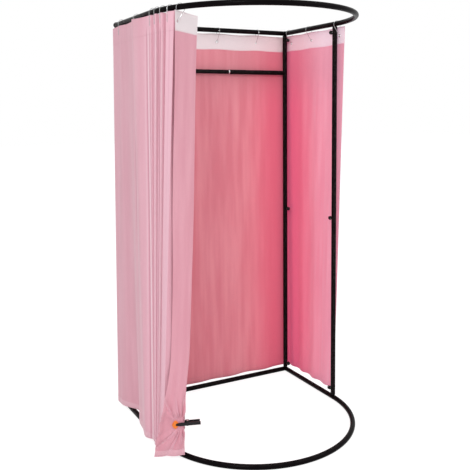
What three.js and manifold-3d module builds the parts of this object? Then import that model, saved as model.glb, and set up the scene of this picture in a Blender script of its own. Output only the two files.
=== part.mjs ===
// Portable fitting room: a plug-together frame of black steel tube, D-shaped in plan and two
// metres tall, with a hanging rail at the back and one long curtain on wire rings. The curtain
// is drawn to the left of the round entry, and a spring clamp holds its folds.
//
// Millimetres. +X is right, +Y is back, +Z is up. The origin is on the floor, in the middle of
// the underside of the rear base bar.

import * as THREE from "three";
import { mergeVertices } from "three/addons/utils/BufferGeometryUtils.js";
import Module from "manifold-3d";

const wasm = await Module();
wasm.setup();

// Frame
const postSpacing = 1000; // left post to right post, centre to centre
const sideDepth = 475; // rear posts to front posts, centre to centre
const height = 2000; // floor to the top of the upper ring
const tubeRadius = 12.5;
const tubeWall = 1.2;
const seam = 0.3; // gap left between faces that touch
const plugPlay = 0.5; // a plug's gap inside the tube that takes it
const plugLength = 60; // upright plugs, inside the ends of the posts
const ringPlugLength = 26; // plugs of the side bars, inside the ends of the bent tube
const plugShoulder = 3; // solid ring where a side bar narrows to its plug
const splitHeight = 950; // where an upper post meets its lower post
const cutOverrun = 5; // how far a cutting body runs past what it cuts

// Thumb screws
const endScrewInset = 27; // screw axis from the end of a post
const splitScrewInset = 32.5; // and from the lower end of an upper post
const screwRadius = 2.6;
const screwPlay = 0.4;
const nutRadius = 5;
const nutHeight = 6;
const bareThread = 7; // thread to be seen between nut and knob
const knobRadius = 10.5;
const knobThickness = 14;
const lobeDepth = 1.6;

// Hanging rail
const railDrop = 235; // axis of the rail below the top of the room
const railThickRadius = 12.5;
const railThinRadius = 11;
const railJointShare = 0.276; // where the thin tube enters the thick one, of the way to the post
const railOverlap = 80;
const collarWidth = 7;
const collarRadius = 13;
const pegLength = 25;

// Curtain
const clothThickness = 1.2;
const clothDrop = 3; // upper edge of the cloth below the bars
const hemHeight = 26; // lower edge of the cloth above the floor
const hemRise = 3; // how much that edge wanders
const clothHang = 18; // cloth outside the axis of the bars
const flare = 24; // how much further out the hem of a side wall hangs
const rearFlare = 6; // and the hem of the rear wall
const cornerTurn = 14; // radius of the cloth round a rear corner
const sideWave = 5; // swing of the folds at the hem of the side walls
const rearWave = 4; // and at the hem of the rear wall
const topWave = 1; // and at the upper edge of every wall
const frontEdgeReach = 72; // right wall past the front post, at the top
const frontEdgeLean = 80; // how far that edge leans back at the hem
const eyeletRadius = 4.5;

// Rings
const wireRadius = 1.1;
const ringRadius = 19.5; // round the bar
const ringDrop = 60; // axis of the bar down to the lowest point of the wire
const ringTurn = 4; // radius of the wire where it passes the cloth
const ringPlay = 1.4; // wire to the top of the bar
const ringGap = 2; // opening of the ring's clasp
const rearRingShares = [0.638, 0.148, -0.342, -0.832]; // places along the rear bar, of the way to a post
const leftRingShares = [0.185, 0.632]; // and along the left bar, from the rear post
const rightRingShare = 0.5; // and along the right bar
const ringPostGap = 15.5; // ring just in front of the front post, from the post's axis
const ringKnobGap = 43; // ring in front of the rear post's knob, from the post's axis

// Slack cloth of the left wall in front of its last ring
const bulgeDepth = 33;
const hemBulgeDepth = 18;
const bulgeCrestShare = 0.27; // its crest, of the way to the gathered folds
const hemBulgeCrestShare = 0.75;

// Hem of the left wall, which swings in over the base bar behind the slack cloth
const tuckDepth = 43;
const tuckStart = 30; // from the rear posts forwards
const tuckLength = 320;
const tuckRiseShare = 0.25; // how far the hem lifts there, of the depth

// Gathered curtain, by angle round the front ring from the left post
const gatheredRings = [3, 8, 13, 18.5]; // degrees
const ringLead = 1; // degrees from the start of a fold to its ring
const gatherEnd = 22.8; // degrees to the root of the leading fold
const foldDepths = [70, 80, 80, 0]; // how far the cloth folds inwards between two rings
const hemDepthShare = 0.6; // and how much of that it does at the hem
const gatherFlare = 68; // how much further out the last fold's hem hangs
const hemSqueezeShare = 0.25; // how much closer the folds stand at the hem
const foldGap = 1.6; // between two folds at the upper edge

// Leading fold: a hairpin of cloth that starts inwards from the last fold and comes back to a
// free edge. Its places are angles round the front ring, and distances inside the ring's axis.
const leadBendTop = { degrees: 17.5, inset: 158 };
const leadBendHem = { degrees: 24.9, inset: -29 };
const leadEdgeTop = { degrees: 24.7, inset: -33 };
const leadEdgeHem = { degrees: 15.1, inset: -116 };
const edgeSwing = 6; // the free edge hangs straight for longer than the bend: a power of the drop
const leadLayerGap = 13; // between the two layers of the hairpin
const leadPinchGap = 2; // and between them in the clamp
const leadPinchReach = 330; // height over which the layers close up
const leadPinchShare = 0.22; // part of a held layer in which it leaves the other
const leadEyeletInset = 20.5; // last eyelet from the free edge
const leadRingSwivel = 27; // degrees that the last ring is turned on the bar

// Spring clamp
const clampHeight = 170;
const padToPivot = 55;
const pivotToEnd = 58;
const bendToPivot = 14; // bend of the held cloth to the pivot
const padLength = 30;
const padHeight = 38;
const padThickness = 5;
const armHeight = 14;
const armThickness = 5;
const armSpread = 13; // jaw arm from the middle plane, at the pivot
const handleSpread = 14; // handle end from the middle plane
const knuckleRadius = 8;
const earThickness = 3;
const innerEarThickness = 3;
const pinRadius = 3;
const pinPlay = 0.3;
const pinHeadRadius = 4.5;
const pinHeadThickness = 2;
const springWireRadius = 0.7;
const springRadius = 5;
const springLegLength = 9;
const springTurns = 3;

// Facets
const tubeSides = 12;
const arcSteps = 32;
const smallSides = 8;
const wireSides = 5;

// Sizes worked out from the ones above
const halfWidth = postSpacing / 2;
const arcRadius = halfWidth;
const boreRadius = tubeRadius - tubeWall;
const plugRadius = boreRadius - plugPlay;
const baseAxis = tubeRadius;
const topAxis = height - tubeRadius;
const clothTop = height - 2 * tubeRadius - clothDrop;
const railHeight = height - railDrop;
const railJoint = halfWidth * railJointShare;
const straightEnd = 50; // of the bent front tube, behind the front posts
const wallReach = halfWidth + clothHang; // cloth from the middle of the room

const steel = new THREE.MeshStandardMaterial({ color: 0x141314, roughness: 0.32, metalness: 0.55 });
const bright = new THREE.MeshStandardMaterial({ color: 0xc4c6c8, roughness: 0.25, metalness: 1 });
const plastic = new THREE.MeshStandardMaterial({ color: 0x17161a, roughness: 0.5 });
const padOrange = new THREE.MeshStandardMaterial({ color: 0xf2862a, roughness: 0.6 });
const cloth = new THREE.MeshStandardMaterial({ color: 0xe89bae, roughness: 0.9 });

const room = new THREE.Group();

function add(name, solid, material) {
  const mesh = new THREE.Mesh(geometryOf(solid), material);
  mesh.name = name;
  room.add(mesh);
}

// Between geometries and solids

function solidOf(geometry) {
  const bare = geometry.clone();
  bare.deleteAttribute("normal");
  bare.deleteAttribute("uv");
  const merged = mergeVertices(bare);
  return new wasm.Manifold(new wasm.Mesh({
    numProp: 3,
    vertProperties: Float32Array.from(merged.attributes.position.array),
    triVerts: Uint32Array.from(merged.index.array),
  }));
}

function geometryOf(solid) {
  const mesh = solid.getMesh();
  const geometry = new THREE.BufferGeometry();
  geometry.setAttribute("position", new THREE.BufferAttribute(Float32Array.from(mesh.vertProperties), 3));
  geometry.setIndex(new THREE.BufferAttribute(Uint32Array.from(mesh.triVerts), 1));
  geometry.computeVertexNormals();
  return geometry;
}

// Outlines. A round one has its flats on the circle, and a flat faces each axis.

function roundPoints(radius, sides) {
  const corner = radius / Math.cos(Math.PI / sides);
  return Array.from({ length: sides }, (_, i) => {
    const angle = ((i + 0.5) * 2 * Math.PI) / sides;
    return new THREE.Vector2(corner * Math.cos(angle), corner * Math.sin(angle));
  });
}

function discShape(radius, sides = tubeSides) {
  return new THREE.Shape(roundPoints(radius, sides));
}

function ringShape(radius, bore, sides = tubeSides) {
  const shape = discShape(radius, sides);
  shape.holes.push(new THREE.Path(roundPoints(bore, sides).reverse()));
  return shape;
}

function lobedShape(radius, depth, lobes) {
  const count = lobes * 4;
  const points = Array.from({ length: count }, (_, i) => {
    const angle = (i * 2 * Math.PI) / count;
    const reach = radius - (depth * (1 - Math.cos(lobes * angle))) / 2;
    return new THREE.Vector2(reach * Math.cos(angle), reach * Math.sin(angle));
  });
  return new THREE.Shape(points);
}

// Straight bodies along one axis, from one coordinate to another

function alongZ(shape, from, to, x = 0, y = 0) {
  const geometry = new THREE.ExtrudeGeometry(shape, { depth: to - from, bevelEnabled: false });
  return solidOf(geometry.translate(x, y, from));
}

function alongY(shape, from, to, x, z) {
  const geometry = new THREE.ExtrudeGeometry(shape, { depth: to - from, bevelEnabled: false });
  return solidOf(geometry.rotateX(-Math.PI / 2).translate(x, from, z));
}

function alongX(shape, from, to, y, z) {
  const geometry = new THREE.ExtrudeGeometry(shape, { depth: to - from, bevelEnabled: false });
  return solidOf(geometry.rotateY(Math.PI / 2).translate(from, y, z));
}

// Removes what lies beyond an upright plane through a point, less a setback

function beyond(x, y, angle, setback) {
  const size = tubeRadius * 8;
  const box = new THREE.BoxGeometry(size, size, size).translate(size / 2 - setback, 0, 0);
  return (z) => solidOf(box.clone().rotateZ(angle).translate(x, y, z));
}

// A route through points, one step of a swept body from each point to the next

class Route extends THREE.Curve {
  constructor(points) {
    super();
    this.points = points;
  }

  getPoint(t, target = new THREE.Vector3()) {
    const place = Math.min(Math.max(t, 0), 1) * (this.points.length - 1);
    const before = Math.min(Math.floor(place), this.points.length - 2);
    return target.lerpVectors(this.points[before], this.points[before + 1], place - before);
  }

  getUtoTmapping(u) {
    return u;
  }
}

function swept(shape, points) {
  const path = new Route(points);
  const steps = points.length - 1;
  return solidOf(new THREE.ExtrudeGeometry(shape, { extrudePath: path, steps, bevelEnabled: false }));
}

function arcPoints(from, to, steps, place) {
  return Array.from({ length: steps + 1 }, (_, i) => place(from + ((to - from) * i) / steps));
}

function onRing(angle, radius) {
  return [-radius * Math.cos(angle), -sideDepth - radius * Math.sin(angle)];
}

// The bent tube of the front, with a short straight end behind each front post

function frontBend(z) {
  const rear = -sideDepth + straightEnd;
  const bend = arcPoints(0, Math.PI, arcSteps, (angle) => new THREE.Vector3(...onRing(angle, arcRadius), z));
  return [new THREE.Vector3(-arcRadius, rear, z), ...bend, new THREE.Vector3(arcRadius, rear, z)];
}

// One ring of the frame. Its plugs point up from the base or down from the top.

function uprightPlug(x, y, axis, direction) {
  const end = axis + direction * (tubeRadius + plugLength);
  return alongZ(ringShape(plugRadius, plugRadius - tubeWall), Math.min(axis, end), Math.max(axis, end), x, y);
}

function frontRing(axis, direction) {
  const core = swept(discShape(tubeRadius - tubeWall / 2), frontBend(axis));
  let ring = swept(ringShape(tubeRadius, boreRadius), frontBend(axis));
  for (const side of [-1, 1]) {
    ring = ring.add(uprightPlug(side * halfWidth, -sideDepth, axis, direction).subtract(core));
  }
  return ring;
}

function rearBar(axis) {
  const reach = halfWidth + tubeRadius;
  let bar = alongX(ringShape(tubeRadius, boreRadius), -reach, reach, 0, axis);
  for (const side of [-1, 1]) {
    bar = bar.subtract(beyond(side * halfWidth, 0, Math.atan2(-1, side), seam / 2)(axis));
  }
  return bar;
}

function sideBar(side, axis, direction) {
  const x = side * halfWidth;
  const front = -sideDepth + straightEnd + seam;
  const away = Math.atan2(1, -side);
  const mitre = beyond(x, 0, away, seam / 2)(axis);
  const plugBore = plugRadius - tubeWall;
  const outer = alongY(discShape(tubeRadius), front, tubeRadius, x, axis);
  const bore = alongY(discShape(boreRadius), front + plugShoulder, tubeRadius + cutOverrun, x, axis);
  const plugEnd = front - ringPlugLength;
  const plug = alongY(discShape(plugRadius), plugEnd, front + plugShoulder, x, axis);
  const plugHole = alongY(discShape(plugBore), plugEnd - cutOverrun, front + plugShoulder + cutOverrun, x, axis);
  const bar = outer.add(plug).subtract(bore).subtract(plugHole).subtract(mitre);

  const reach = halfWidth + tubeRadius;
  const rearSpace = alongX(discShape(tubeRadius + seam), -reach, reach, 0, axis)
    .subtract(beyond(x, 0, Math.atan2(-1, side), -seam)(axis));
  const core = alongY(discShape(tubeRadius - tubeWall / 2), front, tubeRadius + cutOverrun, x, axis);
  return bar.add(uprightPlug(x, 0, axis, direction).subtract(core).subtract(rearSpace));
}

// Posts. Their thumb screws face each other along the side of the room: backwards on the
// front posts and forwards on the rear ones.

function alongSide(shape, x, y, z, facing, near, far) {
  const [from, to] = facing > 0 ? [y + near, y + far] : [y - far, y - near];
  return alongY(shape, from, to, x, z);
}

function postTube(x, y, from, to, screws, facing) {
  const root = tubeRadius - tubeWall / 2;
  const face = tubeRadius + nutHeight;
  let post = alongZ(ringShape(tubeRadius, boreRadius), from, to, x, y);
  for (const z of screws) {
    const nut = alongSide(discShape(nutRadius, smallSides), x, y, z, facing, root, face);
    const hole = discShape(screwRadius + screwPlay, smallSides);
    post = post.add(nut).subtract(alongSide(hole, x, y, z, facing, 0, face + cutOverrun));
  }
  return post;
}

const postFoot = 2 * tubeRadius + seam;
const postTop = height - postFoot;
const screwLevels = {
  base: postFoot + endScrewInset,
  middle: splitHeight + splitScrewInset,
  top: postTop - endScrewInset,
};

function lowerPost(x, y, facing) {
  const top = splitHeight - seam;
  const neckBore = plugRadius - tubeWall;
  const neck = alongZ(ringShape(plugRadius, neckBore), top - plugShoulder, top + plugLength, x, y);
  const collar = alongZ(ringShape(boreRadius + tubeWall / 2, neckBore), top - plugShoulder, top, x, y);
  return postTube(x, y, postFoot, top, [screwLevels.base], facing).add(collar).add(neck);
}

function upperPost(x, y, facing) {
  return postTube(x, y, splitHeight, postTop, [screwLevels.middle, screwLevels.top], facing);
}

function railPeg(side, bore) {
  const root = halfWidth - tubeRadius + tubeWall / 2;
  const tip = halfWidth - tubeRadius - pegLength;
  const [from, to] = side < 0 ? [-root, -tip] : [tip, root];
  return alongX(ringShape(bore - plugPlay, bore - plugPlay - tubeWall), from, to, 0, railHeight);
}

// Thumb screw: a lobed knob and its shank, from the plug that it presses on outwards

function thumbScrew(x, y, z, facing) {
  const tip = plugRadius + seam;
  const face = tubeRadius + nutHeight + bareThread;
  const knob = lobedShape(knobRadius, lobeDepth, 6);
  const shank = discShape(screwRadius, smallSides);
  return alongSide(knob, x, y, z, facing, face, face + knobThickness)
    .add(alongSide(shank, x, y, z, facing, tip, face + knobThickness / 2));
}

const corners = [
  { name: "rear_left", x: -halfWidth, y: 0, facing: -1 },
  { name: "rear_right", x: halfWidth, y: 0, facing: -1 },
  { name: "front_left", x: -halfWidth, y: -sideDepth, facing: 1 },
  { name: "front_right", x: halfWidth, y: -sideDepth, facing: 1 },
];
const sides = [["left", -1], ["right", 1]];

add("base_rear_bar", rearBar(baseAxis), steel);
add("top_rear_bar", rearBar(topAxis), steel);
for (const [name, side] of sides) {
  add(`base_side_bar_${name}`, sideBar(side, baseAxis, 1), steel);
  add(`top_side_bar_${name}`, sideBar(side, topAxis, -1), steel);
}
add("base_front_ring", frontRing(baseAxis, 1), steel);
add("top_front_ring", frontRing(topAxis, -1), steel);

for (const { name, x, y, facing } of corners) {
  add(`lower_post_${name}`, lowerPost(x, y, facing), steel);
  let upper = upperPost(x, y, facing);
  if (y === 0) {
    const railRadius = x > 0 ? railThickRadius : railThinRadius;
    upper = upper.add(railPeg(Math.sign(x), railRadius - tubeWall));
  }
  add(`upper_post_${name}`, upper, steel);
  for (const [level, z] of Object.entries(screwLevels)) {
    add(`${level}_screw_${name}`, thumbScrew(x, y, z, facing), plastic);
  }
}

// Hanging rail: a thin tube inside a thick one, with a bright collar at the joint. The ends
// are hollowed to fit the rear posts.

function postSpace(side) {
  return alongZ(
    discShape(tubeRadius + seam), railHeight - tubeRadius * 2, railHeight + tubeRadius * 2, side * halfWidth, 0,
  );
}

const thinBore = railThinRadius - tubeWall;
const collarStart = railJoint - collarWidth;
add(
  "hanging_rail_thin",
  alongX(ringShape(railThinRadius, thinBore), -halfWidth, railJoint + railOverlap, 0, railHeight)
    .subtract(postSpace(-1)),
  steel,
);
add(
  "hanging_rail_thick",
  alongX(ringShape(railThickRadius, railThinRadius + seam), railJoint + seam, halfWidth, 0, railHeight)
    .subtract(postSpace(1)),
  steel,
);
add(
  "hanging_rail_collar",
  alongX(ringShape(collarRadius, railThinRadius + seam), collarStart, railJoint, 0, railHeight),
  bright,
);

// Cloth. A wall of cloth is a grid of points on a path in plan, row by row up the drop, with
// half its thickness to each side. The lowest row wanders with the hem.

function clothSolid(path, columns, levels, hemWaves, tuckedRise = () => 0) {
  const front = [];
  const back = [];
  for (const level of [hemHeight, ...levels]) {
    const line = Array.from({ length: columns + 1 }, (_, i) => {
      const lift = (hemRise * (1 + Math.sin((i / columns) * hemWaves * 2 * Math.PI))) / 2;
      const z = level === hemHeight ? level + lift + tuckedRise(i / columns) : level;
      return new THREE.Vector3(...path(i / columns, z), z);
    });
    line.forEach((point, i) => {
      const before = line[Math.max(i - 1, 0)];
      const after = line[Math.min(i + 1, columns)];
      const across = new THREE.Vector3(after.y - before.y, before.x - after.x, 0).setLength(clothThickness / 2);
      front.push(point.clone().add(across));
      back.push(point.clone().sub(across));
    });
  }
  const rows = levels.length;
  const width = columns + 1;
  const total = front.length;
  const index = [];
  const quad = (a, b, c, d) => index.push(a, b, c, a, c, d);
  for (let j = 0; j < rows; j += 1) {
    for (let i = 0; i < columns; i += 1) {
      const a = j * width + i;
      quad(a, a + 1, a + width + 1, a + width);
      quad(total + a, total + a + width, total + a + width + 1, total + a + 1);
    }
    const left = j * width;
    const right = left + columns;
    quad(left, left + width, total + left + width, total + left);
    quad(right, total + right, total + right + width, right + width);
  }
  const last = rows * width;
  for (let i = 0; i < columns; i += 1) {
    quad(i, total + i, total + i + 1, i + 1);
    quad(last + i, last + i + 1, total + last + i + 1, total + last + i);
  }
  const geometry = new THREE.BufferGeometry().setFromPoints([...front, ...back]);
  geometry.setIndex(index);
  return solidOf(geometry);
}

// How far down the cloth a height lies, from 0 at the upper edge to 1 at the floor
function dropAt(z) {
  return (clothTop - z) / clothTop;
}

function between(a, b, share) {
  return a + (b - a) * share;
}

function smooth(share) {
  const clear = Math.min(Math.max(share, 0), 1);
  return clear * clear * (3 - 2 * clear);
}

const wallLevels = [0.25, 0.5, 0.75, 1].map((share) => clothTop * share);

// Walls. A ripple is still at both ends of its wall.

function ripple(along, waves) {
  return Math.sin(along * waves * 2 * Math.PI) * Math.sin(Math.min(along, 1 - along, 0.25) * 2 * Math.PI);
}

// Slack cloth between the last ring of the left bar and the first of the front ring
function bulgeAt(y, z) {
  const start = -sideDepth * leftRingShares.at(-1) - ringRadius / 2;
  const along = (start - y) / (start - gatherEdge(z));
  if (along <= 0 || along >= 1) return 0;
  const crest = between(bulgeCrestShare, hemBulgeCrestShare, dropAt(z));
  const part = along < crest ? along / crest : (1 - along) / (1 - crest);
  return between(bulgeDepth, hemBulgeDepth, dropAt(z)) * smooth(part);
}

function tuckAt(y, z) {
  const part = Math.min(Math.max((-y - tuckStart) / tuckLength, 0), 1);
  return tuckDepth * (dropAt(z) * Math.sin(part * Math.PI)) ** 2;
}

function sideWallPath(side, frontAt, waves, slack) {
  const turnShare = 0.12; // part of the wall's columns that go round the rear corner
  return (along, z) => {
    const spread = flare * dropAt(z);
    const turnX = wallReach + spread - cornerTurn;
    const turnY = clothHang + rearFlare * dropAt(z) - cornerTurn;
    if (along > 1 - turnShare) {
      const angle = (((along - 1) / turnShare + 1) * Math.PI) / 2;
      return [side * (turnX + cornerTurn * Math.cos(angle)), turnY + cornerTurn * Math.sin(angle)];
    }
    const part = along / (1 - turnShare);
    const swing = between(topWave, sideWave, dropAt(z)) * ripple(part, waves);
    const y = between(frontAt(z), turnY, part);
    return [side * (turnX + cornerTurn + swing + slack(y, z)), y];
  };
}

function rearWallPath(along, z) {
  const reach = wallReach + flare * dropAt(z) - cornerTurn - seam;
  const swing = between(topWave, rearWave, dropAt(z)) * ripple(along, rearWaves);
  return [between(reach, -reach, along), clothHang + rearFlare * dropAt(z) + swing];
}

// Gathered folds. Each runs flat past its ring and then folds inwards, and they crowd
// together and hang further out towards the hem.

const gatherStart = gatheredRings[0] - ringLead;
const foldStarts = [...gatheredRings.map((angle) => angle - ringLead), gatherEnd];

function gatherPoint(degrees, z, fold) {
  const drop = dropAt(z);
  const share = (degrees - gatherStart) / (gatherEnd - gatherStart);
  const angle = gatherStart + (degrees - gatherStart) * (1 - hemSqueezeShare * drop);
  const radius = wallReach + between(flare, gatherFlare, share) * drop - fold;
  return onRing((angle * Math.PI) / 180, radius);
}

function foldPath(index) {
  const from = foldStarts[index];
  const to = foldStarts[index + 1] - ((foldGap / wallReach) * 180) / Math.PI;
  const flat = (2 * ringLead) / (to - from);
  return (along, z) => {
    const rise = Math.max(0, (along - flat) / (1 - flat));
    const depth = foldDepths[index] * between(1, hemDepthShare, dropAt(z)) * Math.sin(rise * Math.PI);
    return gatherPoint(between(from, to, along), z, depth);
  };
}

// The leading fold goes in to its bend on one side of a middle line and comes back on the
// other. Where the clamp holds it, the two layers are upright and lie close together.

const pinchEdge = padHeight / 2 + cutOverrun;
const layerSteps = 8;
const bendSteps = 6;
const leadSteps = 2 * layerSteps + bendSteps;

function pinchAt(z) {
  return smooth(1 - Math.max(0, Math.abs(z - clampHeight) - pinchEdge) / leadPinchReach);
}

function ringPlace(top, hem, share) {
  const angle = (between(top.degrees, hem.degrees, share) * Math.PI) / 180;
  return new THREE.Vector2(...onRing(angle, halfWidth - between(top.inset, hem.inset, share)));
}

function leadLine(level) {
  const z = Math.abs(level - clampHeight) <= pinchEdge ? clampHeight : level;
  const drop = dropAt(z);
  const [x, y] = gatherPoint(gatherEnd, z, 0);
  const root = new THREE.Vector2(x, y - seam);
  const bend = ringPlace(leadBendTop, leadBendHem, drop);
  const edge = ringPlace(leadEdgeTop, leadEdgeHem, drop ** edgeSwing);
  const along = bend.clone().sub(root.clone().add(edge).multiplyScalar(1 / 2)).normalize();
  return { root, bend, edge, along, across: new THREE.Vector2(along.y, -along.x) };
}

// A point of the layer that ends at a given edge, by its share of the way there from the bend
function layerPoint(line, end, side, share, z) {
  const reach = line.bend.clone().sub(end);
  const half = between(leadLayerGap, leadPinchGap, pinchAt(z)) / 2;
  const away = between(share, smooth(1 - (1 - share) / leadPinchShare), pinchAt(z));
  const back = between(half, reach.dot(line.along), share);
  const aside = between(side * half, -reach.dot(line.across), away);
  return line.bend.clone().addScaledVector(line.along, -back).addScaledVector(line.across, aside);
}

function leadPath(share, z) {
  const line = leadLine(z);
  const place = share * leadSteps;
  if (place <= layerSteps) return layerPoint(line, line.root, -1, 1 - place / layerSteps, z).toArray();
  const turned = place - layerSteps;
  if (turned >= bendSteps) {
    return layerPoint(line, line.edge, 1, (turned - bendSteps) / layerSteps, z).toArray();
  }
  const half = between(leadLayerGap, leadPinchGap, pinchAt(z)) / 2;
  const angle = (turned / bendSteps) * Math.PI;
  return line.bend.clone()
    .addScaledVector(line.along, half * (Math.sin(angle) - 1))
    .addScaledVector(line.across, -half * Math.cos(angle))
    .toArray();
}

// Eyelets and rings of wire. Each is given by the point of the bar above it, the direction
// outwards and how far out the cloth hangs.

function eyeletHole({ bar, outward, hang = clothHang, through = outward }) {
  const depth = clothHang;
  const hole = new THREE.ExtrudeGeometry(discShape(eyeletRadius, smallSides), { depth, bevelEnabled: false })
    .translate(0, 0, -depth / 2)
    .rotateX(Math.PI / 2)
    .rotateZ(Math.atan2(through[1], through[0]) - Math.PI / 2)
    .translate(bar[0] + outward[0] * hang, bar[1] + outward[1] * hang, topAxis - ringDrop);
  return solidOf(hole);
}

// Round over the bar, straight down outside the cloth, through the eyelet, and back up to
// the bar on the room side, where the clasp leaves a gap.

function wireRing({ bar, outward, hang = clothHang }) {
  const shift = hang + ringTurn - ringRadius;
  const rest = ringRadius - tubeRadius - wireRadius - ringPlay;
  const sag = -Math.sqrt(rest * rest - shift * shift);
  const low = -ringDrop + ringTurn;
  const point = (out, up) => new THREE.Vector3(out, 0, up);
  const round = (x, z, radius, angle) => point(x + radius * Math.cos(angle), z + radius * Math.sin(angle));
  const inner = [hang - ringTurn, low];
  const fall = Math.hypot(inner[0] - shift, inner[1] - sag);
  const leave = Math.atan2(inner[1] - sag, inner[0] - shift) - Math.acos(ringRadius / fall) + 2 * Math.PI;
  const turn = arcPoints(Math.PI, 2 * Math.PI, 3, (angle) => round(hang, low, ringTurn, angle));
  const loop = arcPoints(0, leave, 8, (angle) => round(shift, sag, ringRadius, angle));
  const end = loop.at(-1).clone().lerp(turn[0], 1 - ringGap / fall);
  const wire = new THREE.ExtrudeGeometry(discShape(wireRadius, wireSides), {
    extrudePath: new Route([...turn, ...loop, end]), steps: turn.length + loop.length, bevelEnabled: false,
  });
  wire.rotateZ(Math.atan2(outward[1], outward[0])).translate(bar[0], bar[1], topAxis);
  return solidOf(wire);
}

// The last ring hangs from the bar to the eyelet beside the free edge, and is turned on the
// bar because that cloth hangs across it.

function leadRing(name) {
  const line = leadLine(topAxis - ringDrop);
  const length = line.bend.distanceTo(line.edge);
  const eyelet = layerPoint(line, line.edge, 1, 1 - leadEyeletInset / length, topAxis - ringDrop);
  const fromCentre = eyelet.clone().add(new THREE.Vector2(0, sideDepth));
  const out = fromCentre.clone().normalize()
    .rotateAround(new THREE.Vector2(), (-leadRingSwivel * Math.PI) / 180);
  const middle = fromCentre.dot(out);
  const hang = middle - Math.sqrt(middle * middle - fromCentre.lengthSq() + arcRadius * arcRadius);
  const bar = eyelet.clone().addScaledVector(out, -hang).toArray();
  return { name, bar, outward: out.toArray(), hang, through: line.across.toArray() };
}

function cutEyelets(solid, rings) {
  return rings.reduce((body, ring) => body.subtract(eyeletHole(ring)), solid);
}

function addRings(rings) {
  for (const ring of rings) add(ring.name, wireRing(ring), bright);
}

function ringOnBend(name, angle) {
  return { name, bar: onRing(angle, arcRadius), outward: [-Math.cos(angle), -Math.sin(angle)] };
}

const rightRings = [
  ringOnBend("ring_right_1", Math.PI - ringPostGap / arcRadius),
  { name: "ring_right_2", bar: [halfWidth, -sideDepth * rightRingShare], outward: [1, 0] },
  { name: "ring_right_3", bar: [halfWidth, -ringKnobGap], outward: [1, 0] },
];
const rearRings = rearRingShares.map((share, i) => ({
  name: `ring_rear_${i + 1}`, bar: [halfWidth * share, 0], outward: [0, 1],
}));
const leftRings = leftRingShares.map((share, i) => ({
  name: `ring_left_${i + 1}`, bar: [-halfWidth, -sideDepth * share], outward: [-1, 0],
}));
const frontRings = gatheredRings.map((angle, i) => ringOnBend(`ring_front_${i + 1}`, (angle * Math.PI) / 180));
const lastRing = leadRing(`ring_front_${gatheredRings.length + 1}`);

const rightWaves = 4;
const rearWaves = 5;
const leftWaves = 3;
const rightEdge = (z) => -sideDepth - frontEdgeReach + frontEdgeLean * dropAt(z);
const gatherEdge = (z) => gatherPoint(gatherStart, z, 0)[1] + seam;
const rightPath = sideWallPath(1, rightEdge, rightWaves, () => 0);
const leftPath = sideWallPath(-1, gatherEdge, leftWaves, (y, z) => bulgeAt(y, z) - tuckAt(y, z));
const leftRise = (along) => tuckAt(leftPath(along, hemHeight)[1], hemHeight) * tuckRiseShare;

add("curtain_right", cutEyelets(clothSolid(rightPath, 32, wallLevels, rightWaves), rightRings), cloth);
add("curtain_rear", cutEyelets(clothSolid(rearWallPath, 40, wallLevels, rearWaves), rearRings), cloth);
add("curtain_left", cutEyelets(clothSolid(leftPath, 28, wallLevels, leftWaves, leftRise), leftRings), cloth);
foldStarts.slice(0, -1).forEach((_, i) => {
  const fold = clothSolid(foldPath(i), 12, wallLevels, 1);
  add(`curtain_fold_${i + 1}`, cutEyelets(fold, [frontRings[i]]), cloth);
});

const leadLevels = [
  clampHeight - pinchEdge,
  clampHeight + pinchEdge,
  clampHeight + pinchEdge + leadPinchReach / 2,
  clampHeight + pinchEdge + leadPinchReach,
  ...wallLevels.slice(1),
];
add("curtain_leading_fold", cutEyelets(clothSolid(leadPath, leadSteps, leadLevels, 1), [lastRing]), cloth);
addRings([...rightRings, ...rearRings, ...leftRings, ...frontRings, lastRing]);

// Spring clamp. It is laid out along its own line, x from the pads towards the handles and y
// towards the arm that faces the room, then turned to stand across the leading fold.

const padFace = leadPinchGap / 2 + clothThickness / 2 + seam;
const padBack = padFace + padThickness;
const pivotX = padToPivot;
const handleX = padToPivot + pivotToEnd;
const jawTip = -padLength / 4;
const armTop = armHeight / 2;
const earTop = armTop + seam + earThickness;

function armShape() {
  const inner = padBack + seam;
  const outline = new THREE.Shape();
  outline.moveTo(jawTip, inner);
  outline.lineTo(padLength / 4, inner);
  outline.quadraticCurveTo(pivotX / 2, armSpread - armThickness / 2, pivotX, armSpread - armThickness);
  outline.lineTo(handleX - armThickness, handleSpread - armThickness);
  outline.quadraticCurveTo(handleX, handleSpread - armThickness, handleX, handleSpread);
  outline.lineTo(handleX - armThickness, handleSpread);
  outline.lineTo(pivotX, armSpread);
  outline.quadraticCurveTo(pivotX / 2, armSpread, padLength / 4, inner + armThickness);
  outline.lineTo(jawTip, inner + armThickness);
  return outline;
}

function knuckleShape() {
  const outline = new THREE.Shape();
  outline.moveTo(pivotX + knuckleRadius, armSpread - armThickness / 2);
  outline.lineTo(pivotX - knuckleRadius, armSpread - armThickness / 2);
  outline.lineTo(pivotX - knuckleRadius, 0);
  outline.absarc(pivotX, 0, knuckleRadius, Math.PI, 2 * Math.PI, false);
  return outline;
}

function pinHole(from, to) {
  return alongZ(discShape(pinRadius + pinPlay), from, to, pivotX, 0);
}

function placed(solid, side) {
  const { bend, along } = leadLine(clampHeight);
  const pads = bend.clone().addScaledVector(along, bendToPivot - padToPivot);
  const turned = side < 0 ? solid.mirror([0, 1, 0]) : solid;
  return turned
    .rotate([0, 0, (Math.atan2(along.y, along.x) * 180) / Math.PI])
    .translate([pads.x, pads.y, clampHeight]);
}

// The arm with the outer ears carries the pin, and the other arm's inner ears turn on it.

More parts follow.
